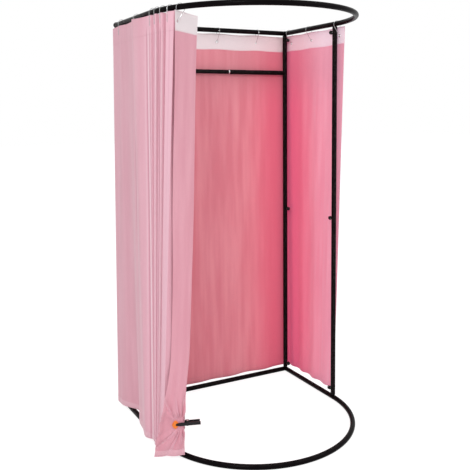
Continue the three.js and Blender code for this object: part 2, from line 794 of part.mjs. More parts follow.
function outerArm() {
  let arm = alongZ(armShape(), -armTop, armTop);
  const block = new THREE.BoxGeometry(2 * knuckleRadius, armThickness - seam, 2 * earTop)
    .translate(pivotX, armSpread - armThickness / 2, 0);
  arm = arm.add(solidOf(block));
  for (const from of [-earTop, armTop + seam]) {
    arm = arm.add(alongZ(knuckleShape(), from, from + earThickness)).subtract(pinHole(-height, height));
  }
  return arm;
}

function innerArm() {
  let arm = alongZ(armShape(), -armTop, armTop);
  for (const from of [-armTop, armTop - innerEarThickness]) {
    arm = arm.add(alongZ(knuckleShape(), from, from + innerEarThickness)).subtract(pinHole(-height, height));
  }
  return arm;
}

function pad() {
  const outline = new THREE.Shape([
    new THREE.Vector2(-padLength / 2, 0),
    new THREE.Vector2(0, -padHeight / 2),
    new THREE.Vector2(padLength / 2, 0),
    new THREE.Vector2(0, padHeight / 2),
  ]);
  const plate = new THREE.ExtrudeGeometry(outline, { depth: padThickness, bevelEnabled: false });
  return solidOf(plate.rotateX(Math.PI / 2).translate(0, padBack, 0));
}

function pivotPin() {
  const reach = earTop + seam;
  const head = discShape(pinHeadRadius);
  return alongZ(discShape(pinRadius), -reach - pinHeadThickness / 2, reach + pinHeadThickness / 2, pivotX, 0)
    .add(alongZ(head, reach, reach + pinHeadThickness, pivotX, 0))
    .add(alongZ(head, -reach - pinHeadThickness, -reach, pivotX, 0));
}

// Torsion spring: a coil round the pin between the inner ears, with two short legs
function coilSpring() {
  const span = armHeight - 2 * innerEarThickness - 2 * springWireRadius - 4 * seam;
  const steps = springTurns * smallSides;
  const coil = arcPoints(0, springTurns * 2 * Math.PI, steps, (angle) => new THREE.Vector3(
    pivotX + springRadius * Math.sin(angle),
    springRadius * Math.cos(angle),
    span * (angle / (springTurns * 2 * Math.PI) - 0.5),
  ));
  const leg = new THREE.Vector3(springLegLength, 0, 0);
  return swept(discShape(springWireRadius, wireSides), [
    coil[0].clone().add(leg), ...coil, coil.at(-1).clone().add(leg),
  ]);
}

add("clamp_arm_outer", placed(outerArm(), 1), plastic);
add("clamp_arm_inner", placed(innerArm(), -1), plastic);
add("clamp_pad_outer", placed(pad(), 1), padOrange);
add("clamp_pad_inner", placed(pad(), -1), padOrange);
add("clamp_pin", placed(pivotPin(), 1), bright);
add("clamp_spring", placed(coilSpring(), 1), bright);

export default room;
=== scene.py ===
# Portable fitting room, dressed for its pictures: gloss black tube frame, thumb screws, hanging
# rail, wire rings, a pink curtain drawn to the left and the spring clamp that holds its folds.
#
# Metres. +X is right, +Y is back, +Z is up, with the origin on the floor in the middle of the
# rear base bar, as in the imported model.

import math
from collections import namedtuple

import bmesh
import bpy
import numpy as np
from mathutils import Matrix, Vector


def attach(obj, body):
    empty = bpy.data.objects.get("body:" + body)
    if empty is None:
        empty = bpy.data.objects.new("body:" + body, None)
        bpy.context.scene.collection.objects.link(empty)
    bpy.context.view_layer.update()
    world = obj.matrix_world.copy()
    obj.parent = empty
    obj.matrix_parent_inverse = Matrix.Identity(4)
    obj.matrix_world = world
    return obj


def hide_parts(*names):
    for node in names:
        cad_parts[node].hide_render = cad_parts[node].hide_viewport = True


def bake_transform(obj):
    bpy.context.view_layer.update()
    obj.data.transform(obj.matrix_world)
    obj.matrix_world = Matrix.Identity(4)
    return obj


# Frame
HALF_WIDTH = 0.5  # middle of the room to the axis of a post
SIDE_DEPTH = 0.475  # rear posts to front posts
HEIGHT = 2.0
TUBE_RADIUS = 0.0125
SEAM = 0.0003  # gap left between faces that touch
SPLIT_HEIGHT = 0.95  # where an upper post meets its lower post
STRAIGHT_END = 0.05  # of the bent front tube, behind the front posts
BASE_AXIS = TUBE_RADIUS
TOP_AXIS = HEIGHT - TUBE_RADIUS
POST_FOOT = 2 * TUBE_RADIUS + SEAM
POST_TOP = HEIGHT - POST_FOOT
TUBE_SIDES = 40
RING_STEPS = 120  # round the half circle of the front ring
END_BEVEL = 0.0007
WELD_BEAD = 0.0016  # radius of the bead round a rear corner
WELD_WANDER = 0.0003
WELD_WAVES = 11  # of that, round a corner
WELD_LUMPS = 0.16  # how unevenly thick the bead is
WELD_LUMP_RATE = 2.1  # radians a step
WELD_LOWEST = 1.2 * WELD_BEAD - TUBE_RADIUS  # from the axis, so that no lump reaches the floor
WELD_STEPS = 48

# Thumb screws
END_SCREW_INSET = 0.027
SPLIT_SCREW_INSET = 0.0325
NUT_FLAT = 0.005  # half of the distance across the flats
NUT_HEIGHT = 0.006
NUT_SUNK = 0.0012  # into the tube
NUT_BEVEL = 0.0006
NUT_BEAD = 0.0009  # radius of the weld round a nut
NUT_BEAD_REACH = 0.0062  # from the axis of the screw
NUT_BEAD_STEPS = 24
BARE_THREAD = 0.007
SHANK_START = 0.0115  # from the axis of the post
SHANK_END = 0.004  # past the face of the knob
SHANK_CORE = 0.0022
THREAD_MIDDLE = 0.00225  # radius at which the ridge of the thread runs
THREAD_RIDGE = 0.00038
THREAD_PITCH = 0.0011
THREAD_START = 0.0004
THREAD_STEPS = 18  # a turn
KNOB_RADIUS = 0.0105
KNOB_THICKNESS = 0.014
LOBE_DEPTH = 0.0017
LOBES = 6
HUB_RADIUS = 0.006
CAP_RADIUS = 0.0052
SCREW_TURN = 23  # degrees by which each screw is turned further than the last

# Profiles: pairs of height above the knob's face and share of the radius
KNOB_PROFILE = (
    (0.0, 0.86), (0.0006, 0.93), (0.0014, 0.975), (0.003, 1.0),
    (0.0105, 1.0), (0.0122, 0.965), (0.0133, 0.88), (KNOB_THICKNESS, 0.72),
)
HUB_PROFILE = ((-0.0009, 0.94), (-0.0005, 1.0), (0.0, 1.0))
CAP_PROFILE = (
    (KNOB_THICKNESS - 0.0001, 1.0), (KNOB_THICKNESS + 0.0002, 0.98),
    (KNOB_THICKNESS + 0.0005, 0.9),
)

# Hanging rail
RAIL_HEIGHT = 1.765
RAIL_JOINT = 0.138
THICK_RAIL = 0.0125
THIN_RAIL = 0.011
RAIL_SUNK = 0.002  # into a post
COLLAR_RADIUS = 0.0134
COLLAR_WIDTH = 0.007

# Profile of the collar: pairs of share of its width and share of its radius
COLLAR_PROFILE = (
    (0.0, 0.93), (0.08, 0.98), (0.2, 1.0), (0.36, 1.0), (0.44, 0.965),
    (0.56, 0.965), (0.64, 1.0), (0.8, 1.0), (0.92, 0.98), (1.0, 0.93),
)

# Curtain
CLOTH_TOP = 1.972
HEM_HEIGHT = 0.026
HEM_RISE = 0.003  # how much the lower edge wanders
HEM_RISE_REACH = 0.25  # height over which that dies away
CLOTH_HANG = 0.018  # from the axis of a bar outwards to the cloth on its rings
FLARE = 0.024  # how much further out the hem of a side wall hangs
REAR_FLARE = 0.006
CORNER_TURN = 0.014  # radius of the cloth round a rear post
CORNER_SHARE = 0.06  # part of a side wall's line that is this turn
SIDE_WAVE = 0.005  # swing of the folds at the hem
REAR_WAVE = 0.004
TOP_WAVE = 0.001
SIDE_WAVES = (3, 4)  # how many of them the left and the right wall have
REAR_WAVES = 5
FRONT_EDGE_REACH = 0.06  # of the right wall, in front of its post
FRONT_EDGE_LEAN = 0.11
CLOTH = 0.0011  # thickness
HEM_CLOTH = 0.0021  # thickness where it is folded over and sewn
EDGE_THIN = 0.45  # of that, at the edge itself
HEM_DEPTH = 0.03
HEM_SEAM = HEM_HEIGHT + HEM_DEPTH
SAG = 0.004  # upper edge between two rings
SAG_REACH = 0.11  # from a ring to where it sags most
SAG_START = 1.6  # height above which it shows
BAND = 0.085  # pale band and its seam, below the upper edge
BAND_SEAM = CLOTH_TOP - BAND + 0.003
STITCH_ROWS = (CLOTH_TOP - 0.004, BAND_SEAM, HEM_SEAM, HEM_HEIGHT + 0.006)
WALL_REACH = HALF_WIDTH + CLOTH_HANG
BULGE_DEPTH = 0.033  # slack cloth of the left wall, in front of its last ring
HEM_BULGE_DEPTH = 0.018
BULGE_CREST_SHARE = 0.27
HEM_BULGE_CREST_SHARE = 0.75
TUCK_DEPTH = 0.043  # hem of the left wall, swung in over the base bar
TUCK_START = 0.03
TUCK_LENGTH = 0.32
TUCK_RISE_SHARE = 0.25
WALL_COLUMNS = 110  # points along the line of the right and of the rear wall
LEFT_COLUMNS = 90
FOLD_COLUMNS = 36
LAYER_COLUMNS = 40  # of a layer of the leading fold
BEND_COLUMNS = 12  # between its two layers
FLAP_BEND_COLUMN = LAYER_COLUMNS + BEND_COLUMNS // 2 - 1  # the point on the bend itself

# Rows of a sheet between those that follow its hem and its band, by their heights
LOW_ROWS_SPAN = (0.07, 0.47)
LOW_ROWS = 13
CREASED_LOW_ROWS = 41
HIGH_ROWS_START = 0.5
HIGH_ROWS = 44
HEAD_ROWS = (1.915, 1.94, 1.962)

# Marks of a sheet's faces, which choose their colour: the room side of the walls takes a deeper
# pink of painted shade than the same cloth outside and on the flap
OUTSIDE = 0.0
EDGE = 0.5
FLAP_ROOM_SIDE = 0.6  # room side of the flap, which the daylight reaches
WALL_ROOM_SIDE = 1.0

# Gathered curtain, in degrees round the front ring from the left post
GATHERED_FROM = 1.5  # metres along the cloth from the rear right corner
GATHERED_RINGS = (3.0, 8.0, 13.0, 18.5)
RING_LEAD = 1.0
GATHER_END = 22.8
FOLD_DEPTHS = (0.07, 0.08, 0.08, 0.0)
HEM_DEPTH_SHARE = 0.6
GATHER_FLARE = 0.068
HEM_SQUEEZE_SHARE = 0.25

# Leading fold: (degrees round the front ring, distance inside its axis)
LEAD_BEND_TOP = (17.5, 0.158)
LEAD_BEND_HEM = (24.9, -0.029)
LEAD_EDGE_TOP = (24.7, -0.033)
LEAD_EDGE_HEM = (15.1, -0.116)
EDGE_SWING = 6  # the free edge hangs straight for longer than the bend: a power of the drop
LEAD_LAYER_GAP = 0.013
LEAD_PINCH_GAP = 0.002
LEAD_PINCH_REACH = 0.33
LEAD_PINCH_SHARE = 0.22
LEAD_EYELET_INSET = 0.0205
LEAD_RING_SWIVEL = 27
PINCH_EDGE = 0.024  # half of the height that the clamp holds flat

# How the leading fold hangs loose. Spans are shares of the drop from the upper edge, first where
# something sets in and then where it is full.
BEND_BOW = 0.022  # distance by which the bend hangs into the room
BOW_SPAN = (0.03, 0.53)
EDGE_SLIDE = 3.6  # degrees by which the free edge leans towards its root
SLIDE_SPAN = (0.03, 0.48)
SLIDE_END_SPAN = (0.95, 0.68)
EDGE_LIFT = 0.034  # distance by which it stands out near the clamp
LIFT_SPAN = (0.75, 0.9)
LIFT_END_SPAN = (0.94, 0.99)
LIFT_END_SHARE = 0.65

# Creases round the clamp, in the cloth's shape and in its colour, as painted shade in the valleys
# and painted highlights on the ridges
CREASES = 15  # in a full turn
CREASE_DEPTH = 0.011
CREASE_REACH = 0.15
CREASE_ORIGIN_SHARE = 0.6  # where they run out from, on the way from the bend to the pad
CREASE_MARGIN = 0.003  # flat cloth round a pad
CREASE_ONSET = 0.022
CREASE_BEND_GAP = 0.012  # from the bend, where they set in
CREASE_SLANT_SPAN = (1 / 6, 5 / 6)  # rise over reach between which they do, as none run level
CREASE_SWAY = 0.3
CREASE_SWAY_RATE = 30
# The hollow is a dent beside the pad that is also coloured with painted shadow.
HOLLOW = 0.8  # upright hollow beside the pad, as a share of a crease
HOLLOW_ASIDE = 0.064  # from the bend
HOLLOW_BREADTH = 0.017
HOLLOW_RISE = 0.05
HOLLOW_LENGTH = 0.13

# Small uneven swells out of the plane of the cloth. Each wave has its depth, its rate along the
# cloth, by how much and at what rate it wanders with the height, and two phases.
SWELLS = ((0.0015, 23.1, 0.7, 1.3, 0.4, 0.0), (0.0006, 61.7, 0.9, 2.3, 1.1, 0.6))
SWELL_TOP_SHARE = 0.35  # at the upper edge
SWELL_FLAP_SHARE = 0.6  # on the leading fold
END_REACH = 0.05  # from the ends of a sheet, over which it starts to swell
HEAD_SPAN = (1.88, 1.94)  # heights between which it comes to rest under the rings
HEAD_REST = 0.8  # how far it does

# Marks on the cloth, from -1 in a valley to 1 on a ridge, which colour it with painted shade and
# painted highlights
FOLD_SHINE = 0.9  # along the bend of the leading fold
FOLD_SHINE_BREADTH = 0.007
PLEAT = 0.027  # breadth of the fine pleats in the gathered folds
PLEAT_DEPTH = 0.0012
PLEAT_ONSET = 0.06
# Painted shade along the upright crease of the left wall, and painted light on the paler panel in
# front of it, which are marks only.
WALL_CREASE = -0.8  # upright, where the left wall starts to stand out
WALL_CREASE_BREADTH = 0.004
WALL_PANEL = 0.28  # paler cloth in front of it
WALL_PANEL_EDGES = (0.012, 0.17, 0.09)  # where it is full, where it ends and where that starts
WALL_CREASE_SPAN = (0.8, 1.2)  # heights between which both set in

# Rings
WIRE_RADIUS = 0.0011
RING_RADIUS = 0.0195
RING_DROP = 0.06
RING_TURN = 0.004
RING_PLAY = 0.0014
RING_GAP = 0.002
RING_TIP = 0.0006
RING_TIP_SHARE = 0.6  # radius at the tip itself
EYELET_RADIUS = 0.0045
EYELET_CUT = 0.012  # length of the cutter through the cloth
GROMMET_RADIUS = 0.0062
GROMMET_WIRE = 0.0016
GROMMET_FLATNESS = 0.85
REAR_RING_SHARES = (0.638, 0.148, -0.342, -0.832)
LEFT_RING_SHARES = (0.185, 0.632)
RIGHT_RING_SHARE = 0.5
RING_POST_GAP = 0.0155
RING_KNOB_GAP = 0.043

# Spring clamp
CLAMP_HEIGHT = 0.17
PAD_TO_PIVOT = 0.055
BEND_TO_PIVOT = 0.014
ARM_SPREAD = 0.013
ARM_HEIGHT = 0.014
HANDLE_SPREAD = 0.014
PIVOT_TO_END = 0.058
PAD_LENGTH = 0.03
PAD_HEIGHT = 0.038
PAD_THICKNESS = 0.005
PAD_ROUNDING = 1.45  # 1 gives a lozenge with straight sides, 2 an ellipse
PAD_STEPS = 64
NOSE_START = -0.0075  # of an arm, from the middle of its pad
NOSE_LENGTH = 0.03
NOSE_SETBACK = 0.0105
NOSE_HEIGHT_SHARE = 0.72
RIBS = 7
RIB_START = 0.3  # share of the handle
RIB_SPACING = 0.085
RIB_INSET = 0.0025
RIB_RADIUS = 0.0009
RIB_LIFT = 0.0001  # off the handle
SPRING_RADIUS = 0.005
SPRING_WIRE = 0.0007
SPRING_SPAN = 0.0054
SPRING_LEG = 0.009
SPRING_TURNS = 3
SPRING_STEPS = 28  # a turn

# Profile of a rib: pairs of share of its length and share of its radius
RIB_PROFILE = ((0, 0.5), (0.06, 1), (0.94, 1), (1, 0.5))

# Profile of a pad: pairs of share of its size and height above its face
PAD_PROFILE = (
    (0.0, 0.0), (0.93, 0.0), (0.985, 0.0004), (1.0, 0.0014), (1.0, 0.0034), (0.975, 0.0044),
    (0.92, PAD_THICKNESS), (0.8, PAD_THICKNESS), (0.77, PAD_THICKNESS - 0.0006),
    (0.7, PAD_THICKNESS - 0.0006), (0.0, PAD_THICKNESS - 0.0004),
)

# Painted glow of daylight through the walls beside the rear right corner, and at the right wall's
# front edge
REAR_CORNER_GLOW = (0.085, 0.0, 0.008, 1)
RIGHT_CORNER_GLOW = (0.18, 0.012, 0.055, 1)
RIGHT_EDGE_GLOW = (0.235, 0.135, 0.2, 1)
SEAM_BLUR = 0.001  # half of the height over which a colour of the cloth gives way to the next

FLOOR_REACH = 30.0
FLOOR_DROP = 0.0005  # so that it isn't in one plane with the underside of the base
WHITE = (1, 1, 1, 1)
BLACK = (0, 0, 0, 1)

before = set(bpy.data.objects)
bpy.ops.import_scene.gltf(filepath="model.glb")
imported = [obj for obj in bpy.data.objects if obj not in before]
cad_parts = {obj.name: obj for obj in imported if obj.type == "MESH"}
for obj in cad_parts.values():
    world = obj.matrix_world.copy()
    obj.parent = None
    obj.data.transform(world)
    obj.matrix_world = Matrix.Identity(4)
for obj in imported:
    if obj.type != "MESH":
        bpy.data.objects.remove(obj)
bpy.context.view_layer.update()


# Node trees. fill() sets inputs by name or place, to values or to what comes out of other nodes.

def fill(tree, node, inputs):
    for key, value in inputs.items():
        if isinstance(value, bpy.types.NodeSocket):
            tree.links.new(value, node.inputs[key])
        else:
            node.inputs[key].default_value = value
    return node


def put(tree, kind, inputs=None, **settings):
    node = tree.nodes.new(kind)
    for name, value in settings.items():
        setattr(node, name, value)
    return fill(tree, node, inputs or {})


def maths(tree, operation, first, second=0.0, third=0.0, clamp=False):
    inputs = {0: first, 1: second, 2: third}
    return put(tree, "ShaderNodeMath", inputs, operation=operation, use_clamp=clamp).outputs[0]


def mix_colour(tree, share, first, second, mode="MIX"):
    inputs = {0: share, 6: first, 7: second}
    return put(tree, "ShaderNodeMix", inputs, data_type="RGBA", blend_type=mode).outputs[2]


def ramp(tree, value, low, high, to_low=0.0, to_high=1.0):
    inputs = {0: value, 1: low, 2: high, 3: to_low, 4: to_high}
    return put(tree, "ShaderNodeMapRange", inputs, interpolation_type="SMOOTHSTEP").outputs[0]


def noise(tree, vector, scale, detail, roughness):
    inputs = {"Vector": vector, "Scale": scale, "Detail": detail, "Roughness": roughness}
    return put(tree, "ShaderNodeTexNoise", inputs).outputs[0]


def parts_of(tree, vector):
    return put(tree, "ShaderNodeSeparateXYZ", {0: vector}).outputs


def stretched(tree, vector, x, y, z):
    return put(tree, "ShaderNodeMapping", {"Vector": vector, "Scale": (x, y, z)}).outputs[0]


def darkened(tree, colour, share):
    """A colour times a share that varies over the surface."""
    grey = put(tree, "ShaderNodeCombineColor", {0: share, 1: share, 2: share}).outputs[0]
    return mix_colour(tree, 1.0, colour, grey, "MULTIPLY")


def socket(tree, name, kind, direction="INPUT", value=None):
    made = tree.interface.new_socket(name=name, in_out=direction, socket_type=f"NodeSocket{kind}")
    if value is not None:
        made.default_value = value
    return made


def shader_group(name, inputs, outputs):
    tree = bpy.data.node_groups.new(name, "ShaderNodeTree")
    for label, kind, value in inputs:
        socket(tree, label, kind, value=value)
    for label, kind in outputs:
        socket(tree, label, kind, "OUTPUT")
    given = tree.nodes.new("NodeGroupInput").outputs
    return tree, given, tree.nodes.new("NodeGroupOutput").inputs


def finish_group(tree, sockets, results):
    for label, source in results.items():
        tree.links.new(source, sockets[label])
    return tree


def use_group(tree, group, inputs):
    return put(tree, "ShaderNodeGroup", inputs, node_tree=group).outputs


# Effects that several materials share

def make_surface_grain():
    """Mottled colour, uneven gloss and a fine relief, as on paint, plastic and wire."""
    tree, given, result = shader_group("surface_grain", [
        ("Vector", "Vector", None),
        ("Colour", "Color", (0.5, 0.5, 0.5, 1)),
        ("Mottle", "Float", 0.1),
        ("Patch Scale", "Float", 12.0),
        ("Grain Scale", "Float", 900.0),
        ("Roughness", "Float", 0.4),
        ("Roughness Spread", "Float", 0.1),
    ], [("Colour", "Color"), ("Roughness", "Float"), ("Height", "Float")])
    patches = noise(tree, given["Vector"], given["Patch Scale"], 4.0, 0.6)
    grain = noise(tree, given["Vector"], given["Grain Scale"], 2.0, 0.5)
    swing = maths(tree, "SUBTRACT", patches, 0.5)
    bright = maths(tree, "MULTIPLY_ADD", swing, given["Mottle"], 1.0)
    colour = darkened(tree, given["Colour"], bright)
    uneven = maths(tree, "MULTIPLY_ADD", swing, given["Roughness Spread"], given["Roughness"])
    return finish_group(tree, result, {"Colour": colour, "Roughness": uneven, "Height": grain})


def make_edge_wear():
    """Paint or plating rubbed thin along convex edges, broken up by noise."""
    tree, given, result = shader_group("edge_wear", [
        ("Vector", "Vector", None),
        ("Colour", "Color", (0, 0, 0, 1)),
        ("Worn Colour", "Color", (0.3, 0.3, 0.3, 1)),
        ("Amount", "Float", 0.5),
        ("Patch Scale", "Float", 120.0),
    ], [("Colour", "Color"), ("Mask", "Float")])
    pointed = tree.nodes.new("ShaderNodeNewGeometry").outputs["Pointiness"]
    edge = ramp(tree, pointed, 0.52, 0.6)
    broken = ramp(tree, noise(tree, given["Vector"], given["Patch Scale"], 4.0, 0.6), 0.42, 0.68)
    mask = maths(tree, "MULTIPLY", edge, broken)
    mask = maths(tree, "MULTIPLY", mask, given["Amount"], clamp=True)
    colour = mix_colour(tree, mask, given["Colour"], given["Worn Colour"])
    return finish_group(tree, result, {"Colour": colour, "Mask": mask})


def make_settled_dust():
    """A thin film of dust on what faces up."""
    tree, given, result = shader_group("settled_dust", [
        ("Vector", "Vector", None),
        ("Colour", "Color", (0, 0, 0, 1)),
        ("Dust Colour", "Color", (0.45, 0.42, 0.4, 1)),
        ("Amount", "Float", 0.1),
    ], [("Colour", "Color"), ("Mask", "Float")])
    facing = tree.nodes.new("ShaderNodeNewGeometry").outputs["Normal"]
    lying = ramp(tree, parts_of(tree, facing)[2], 0.35, 1.0)
    cloudy = ramp(tree, noise(tree, given["Vector"], 35.0, 5.0, 0.65), 0.35, 0.75)
    mask = maths(tree, "MULTIPLY", lying, cloudy)
    mask = maths(tree, "MULTIPLY", mask, given["Amount"], clamp=True)
    colour = mix_colour(tree, mask, given["Colour"], given["Dust Colour"])
    return finish_group(tree, result, {"Colour": colour, "Mask": mask})


def make_plain_weave():
    """Over-and-under threads of a plain weave, in metres of the cloth's own map."""
    tree, given, result = shader_group("plain_weave", [
        ("Map", "Vector", None),
        ("Thread", "Float", 0.0006),
        ("Slub", "Float", 0.3),
    ], [("Height", "Float"), ("Thread Mask", "Float"), ("Slubs", "Float")])
    parts = parts_of(tree, given["Map"])
    turns = maths(tree, "DIVIDE", math.pi, given["Thread"])
    across = maths(tree, "MULTIPLY", parts[0], turns)
    down = maths(tree, "MULTIPLY", parts[1], turns)
    over = maths(tree, "MULTIPLY", maths(tree, "SINE", across), maths(tree, "SINE", down))
    warp = maths(tree, "ABSOLUTE", maths(tree, "SINE", across))
    weft = maths(tree, "ABSOLUTE", maths(tree, "SINE", down))
    crossing = ramp(tree, over, -0.25, 0.25)
    height = maths(tree, "ADD", maths(tree, "MULTIPLY", crossing, warp),
                   maths(tree, "MULTIPLY", maths(tree, "SUBTRACT", 1.0, crossing), weft))
    warp_slubs = noise(tree, stretched(tree, given["Map"], 1.0, 0.04, 1.0), 900.0, 2.0, 0.5)
    weft_slubs = noise(tree, stretched(tree, given["Map"], 0.04, 1.0, 1.0), 900.0, 2.0, 0.5)
    both = maths(tree, "SUBTRACT", maths(tree, "ADD", warp_slubs, weft_slubs), 1.0)
    slubs = maths(tree, "MULTIPLY", both, given["Slub"])
    return finish_group(tree, result, {
        "Height": maths(tree, "ADD", height, slubs),
        "Thread Mask": height,
        "Slubs": slubs,
    })


def make_stitch_row():
    """A row of lockstitches along the cloth at a given height of its map, and the pucker by it."""
    tree, given, result = shader_group("stitch_row", [
        ("Map", "Vector", None),
        ("Row Height", "Float", 0.1),
        ("Stitch", "Float", 0.0034),
        ("Thread", "Float", 0.0009),
    ], [("Mask", "Float"), ("Height", "Float")])
    parts = parts_of(tree, given["Map"])
    off = maths(tree, "ABSOLUTE", maths(tree, "SUBTRACT", parts[1], given["Row Height"]))
    along = maths(tree, "FRACT", maths(tree, "DIVIDE", parts[0], given["Stitch"]))
    middle = maths(tree, "ABSOLUTE", maths(tree, "SUBTRACT", along, 0.5))
    dash = ramp(tree, middle, 0.3, 0.42, 1.0, 0.0)
    half = maths(tree, "MULTIPLY", given["Thread"], 0.5)
    line = ramp(tree, maths(tree, "DIVIDE", off, half), 0.6, 1.2, 1.0, 0.0)
    mask = maths(tree, "MULTIPLY", dash, line)
    groove = ramp(tree, maths(tree, "DIVIDE", off, given["Thread"]), 0.0, 3.5, -1.0, 0.0)
    height = maths(tree, "ADD", maths(tree, "MULTIPLY", groove, 0.6), mask)
    return finish_group(tree, result, {"Mask": mask, "Height": height})


GRAIN = make_surface_grain()
WEAR = make_edge_wear()
DUST = make_settled_dust()
WEAVE = make_plain_weave()
STITCH = make_stitch_row()


# Materials

def new_material(name):
    material = bpy.data.materials.new(name)
    material.use_nodes = True
    tree = material.node_tree
    tree.nodes.clear()
    output = tree.nodes.new("ShaderNodeOutputMaterial")
    shader = tree.nodes.new("ShaderNodeBsdfPrincipled")
    tree.links.new(shader.outputs[0], output.inputs[0])
    place = tree.nodes.new("ShaderNodeTexCoord").outputs["Object"]
    return material, tree, shader, place


def relief(tree, height, distance, strength, under=None):
    inputs = {"Height": height, "Distance": distance, "Strength": strength}
    if under is not None:
        inputs["Normal"] = under
    return put(tree, "ShaderNodeBump", inputs).outputs[0]


def linear(red, green, blue):
    """A colour as seen on the screen, from 0 to 255, as the shader takes it."""
    def one(value):
        share = value / 255
        return share / 12.92 if share <= 0.04045 else ((share + 0.055) / 1.055) ** 2.4
    return (one(red), one(green), one(blue), 1.0)


def gloss_black_steel():
    """Black powder coat with a little dust, rubbed on its edges."""
    material, tree, shader, place = new_material("gloss_black_steel")
    grain = use_group(tree, GRAIN, {
        "Vector": place, "Colour": linear(10, 6, 8), "Mottle": 0.3, "Patch Scale": 9.0,
        "Grain Scale": 520.0, "Roughness": 0.3, "Roughness Spread": 0.22,
    })
    worn = use_group(tree, WEAR, {
        "Vector": place, "Colour": grain["Colour"], "Worn Colour": linear(84, 78, 77),
        "Amount": 0.35,
    })
    dusty = use_group(tree, DUST, {"Vector": place, "Colour": worn["Colour"], "Amount": 0.025})
    scratches = noise(tree, stretched(tree, place, 1.0, 1.0, 0.06), 700.0, 2.0, 0.5)
    rough = maths(tree, "MULTIPLY_ADD", dusty["Mask"], 2.5, grain["Roughness"])
    rough = maths(tree, "MULTIPLY_ADD", ramp(tree, scratches, 0.62, 0.72), 0.12, rough)
    fill(tree, shader, {
        "Base Color": dusty["Colour"],
        "Roughness": rough,
        "Metallic": worn["Mask"],
        "Specular IOR Level": 0.025,
        "Coat Weight": maths(tree, "SUBTRACT", 0.02, maths(tree, "MULTIPLY", worn["Mask"], 0.01)),
        "Coat Roughness": 0.12,
        "Normal": relief(tree, grain["Height"], 0.00005, 0.35),
    })
    return material


def bright_steel():
    """Bare bright wire and fittings."""
    material, tree, shader, place = new_material("bright_steel")
    grain = use_group(tree, GRAIN, {
        "Vector": place, "Colour": linear(206, 207, 208), "Mottle": 0.22, "Patch Scale": 90.0,
        "Grain Scale": 1500.0, "Roughness": 0.2, "Roughness Spread": 0.16,
    })
    worn = use_group(tree, WEAR, {
        "Vector": place, "Colour": grain["Colour"], "Worn Colour": linear(150, 146, 140),
        "Amount": 0.4,
    })
    fill(tree, shader, {
        "Base Color": worn["Colour"],
        "Roughness": maths(tree, "MULTIPLY_ADD", worn["Mask"], 0.2, grain["Roughness"]),
        "Metallic": 1.0,
        "Normal": relief(tree, grain["Height"], 0.00003, 0.2),
    })
    return material


def moulded_plastic(name, colour, worn_colour, roughness, grain_depth):
    """Fine-grained plastic, rubbed paler on its edges, with dust on top."""
    material, tree, shader, place = new_material(name)
    grain = use_group(tree, GRAIN, {
        "Vector": place, "Colour": colour, "Mottle": 0.25, "Patch Scale": 60.0,
        "Grain Scale": 2600.0, "Roughness": roughness, "Roughness Spread": 0.15,
    })
    worn = use_group(tree, WEAR, {
        "Vector": place, "Colour": grain["Colour"], "Worn Colour": worn_colour, "Amount": 0.5,
        "Patch Scale": 300.0,
    })
    dusty = use_group(tree, DUST, {"Vector": place, "Colour": worn["Colour"], "Amount": 0.08})
    fill(tree, shader, {
        "Base Color": dusty["Colour"],
        "Roughness": maths(tree, "MULTIPLY_ADD", worn["Mask"], 0.12, grain["Roughness"]),
        "Specular IOR Level": 0.22,
        "Normal": relief(tree, grain["Height"], grain_depth, 0.5),
    })
    return material


def orange_rubber():
    """Soft orange rubber of the clamp's pads."""
    material, tree, shader, place = new_material("orange_rubber")
    grain = use_group(tree, GRAIN, {
        "Vector": place, "Colour": linear(240, 128, 38), "Mottle": 0.2, "Patch Scale": 80.0,
        "Grain Scale": 3000.0, "Roughness": 0.58, "Roughness Spread": 0.14,
    })
    worn = use_group(tree, WEAR, {
        "Vector": place, "Colour": grain["Colour"], "Worn Colour": linear(196, 98, 36),
        "Amount": 0.5,
        "Patch Scale": 260.0,
    })
    fill(tree, shader, {
        "Base Color": worn["Colour"],
        "Roughness": grain["Roughness"],
        "Subsurface Weight": 0.08,
        "Subsurface Scale": 0.002,
        "Normal": relief(tree, grain["Height"], 0.00006, 0.4),
    })
    return material


def make_light_through():
    """Where a painted glow of daylight comes through a wall, and how much painted shade deepens
    its pink: by how far it is from the rear right corner.
    """
    tree, given, result = shader_group("light_through", [("Vector", "Vector", None)], [
        ("Colour", "Color"), ("Depth", "Float"),
    ])
    parts = parts_of(tree, given["Vector"])
    plan = put(tree, "ShaderNodeCombineXYZ", {0: parts[0], 1: parts[1]}).outputs[0]
    ends = {0: plan, 1: (WALL_REACH, CLOTH_HANG, 0.0)}
    away = put(tree, "ShaderNodeVectorMath", ends, operation="DISTANCE").outputs["Value"]
    rear = mix_colour(tree, ramp(tree, away, 0.05, 0.36), REAR_CORNER_GLOW, BLACK)
    right = mix_colour(tree, ramp(tree, away, 0.1, 0.42), RIGHT_CORNER_GLOW, RIGHT_EDGE_GLOW)
    on_right = ramp(tree, parts[0], HALF_WIDTH - 0.004, HALF_WIDTH + 0.012)
    colour = mix_colour(tree, on_right, rear, right)
    depth = ramp(tree, away, 0.0, 0.3, 1.0, 0.0)
    return finish_group(tree, result, {"Colour": colour, "Depth": depth})


THROUGH = make_light_through()


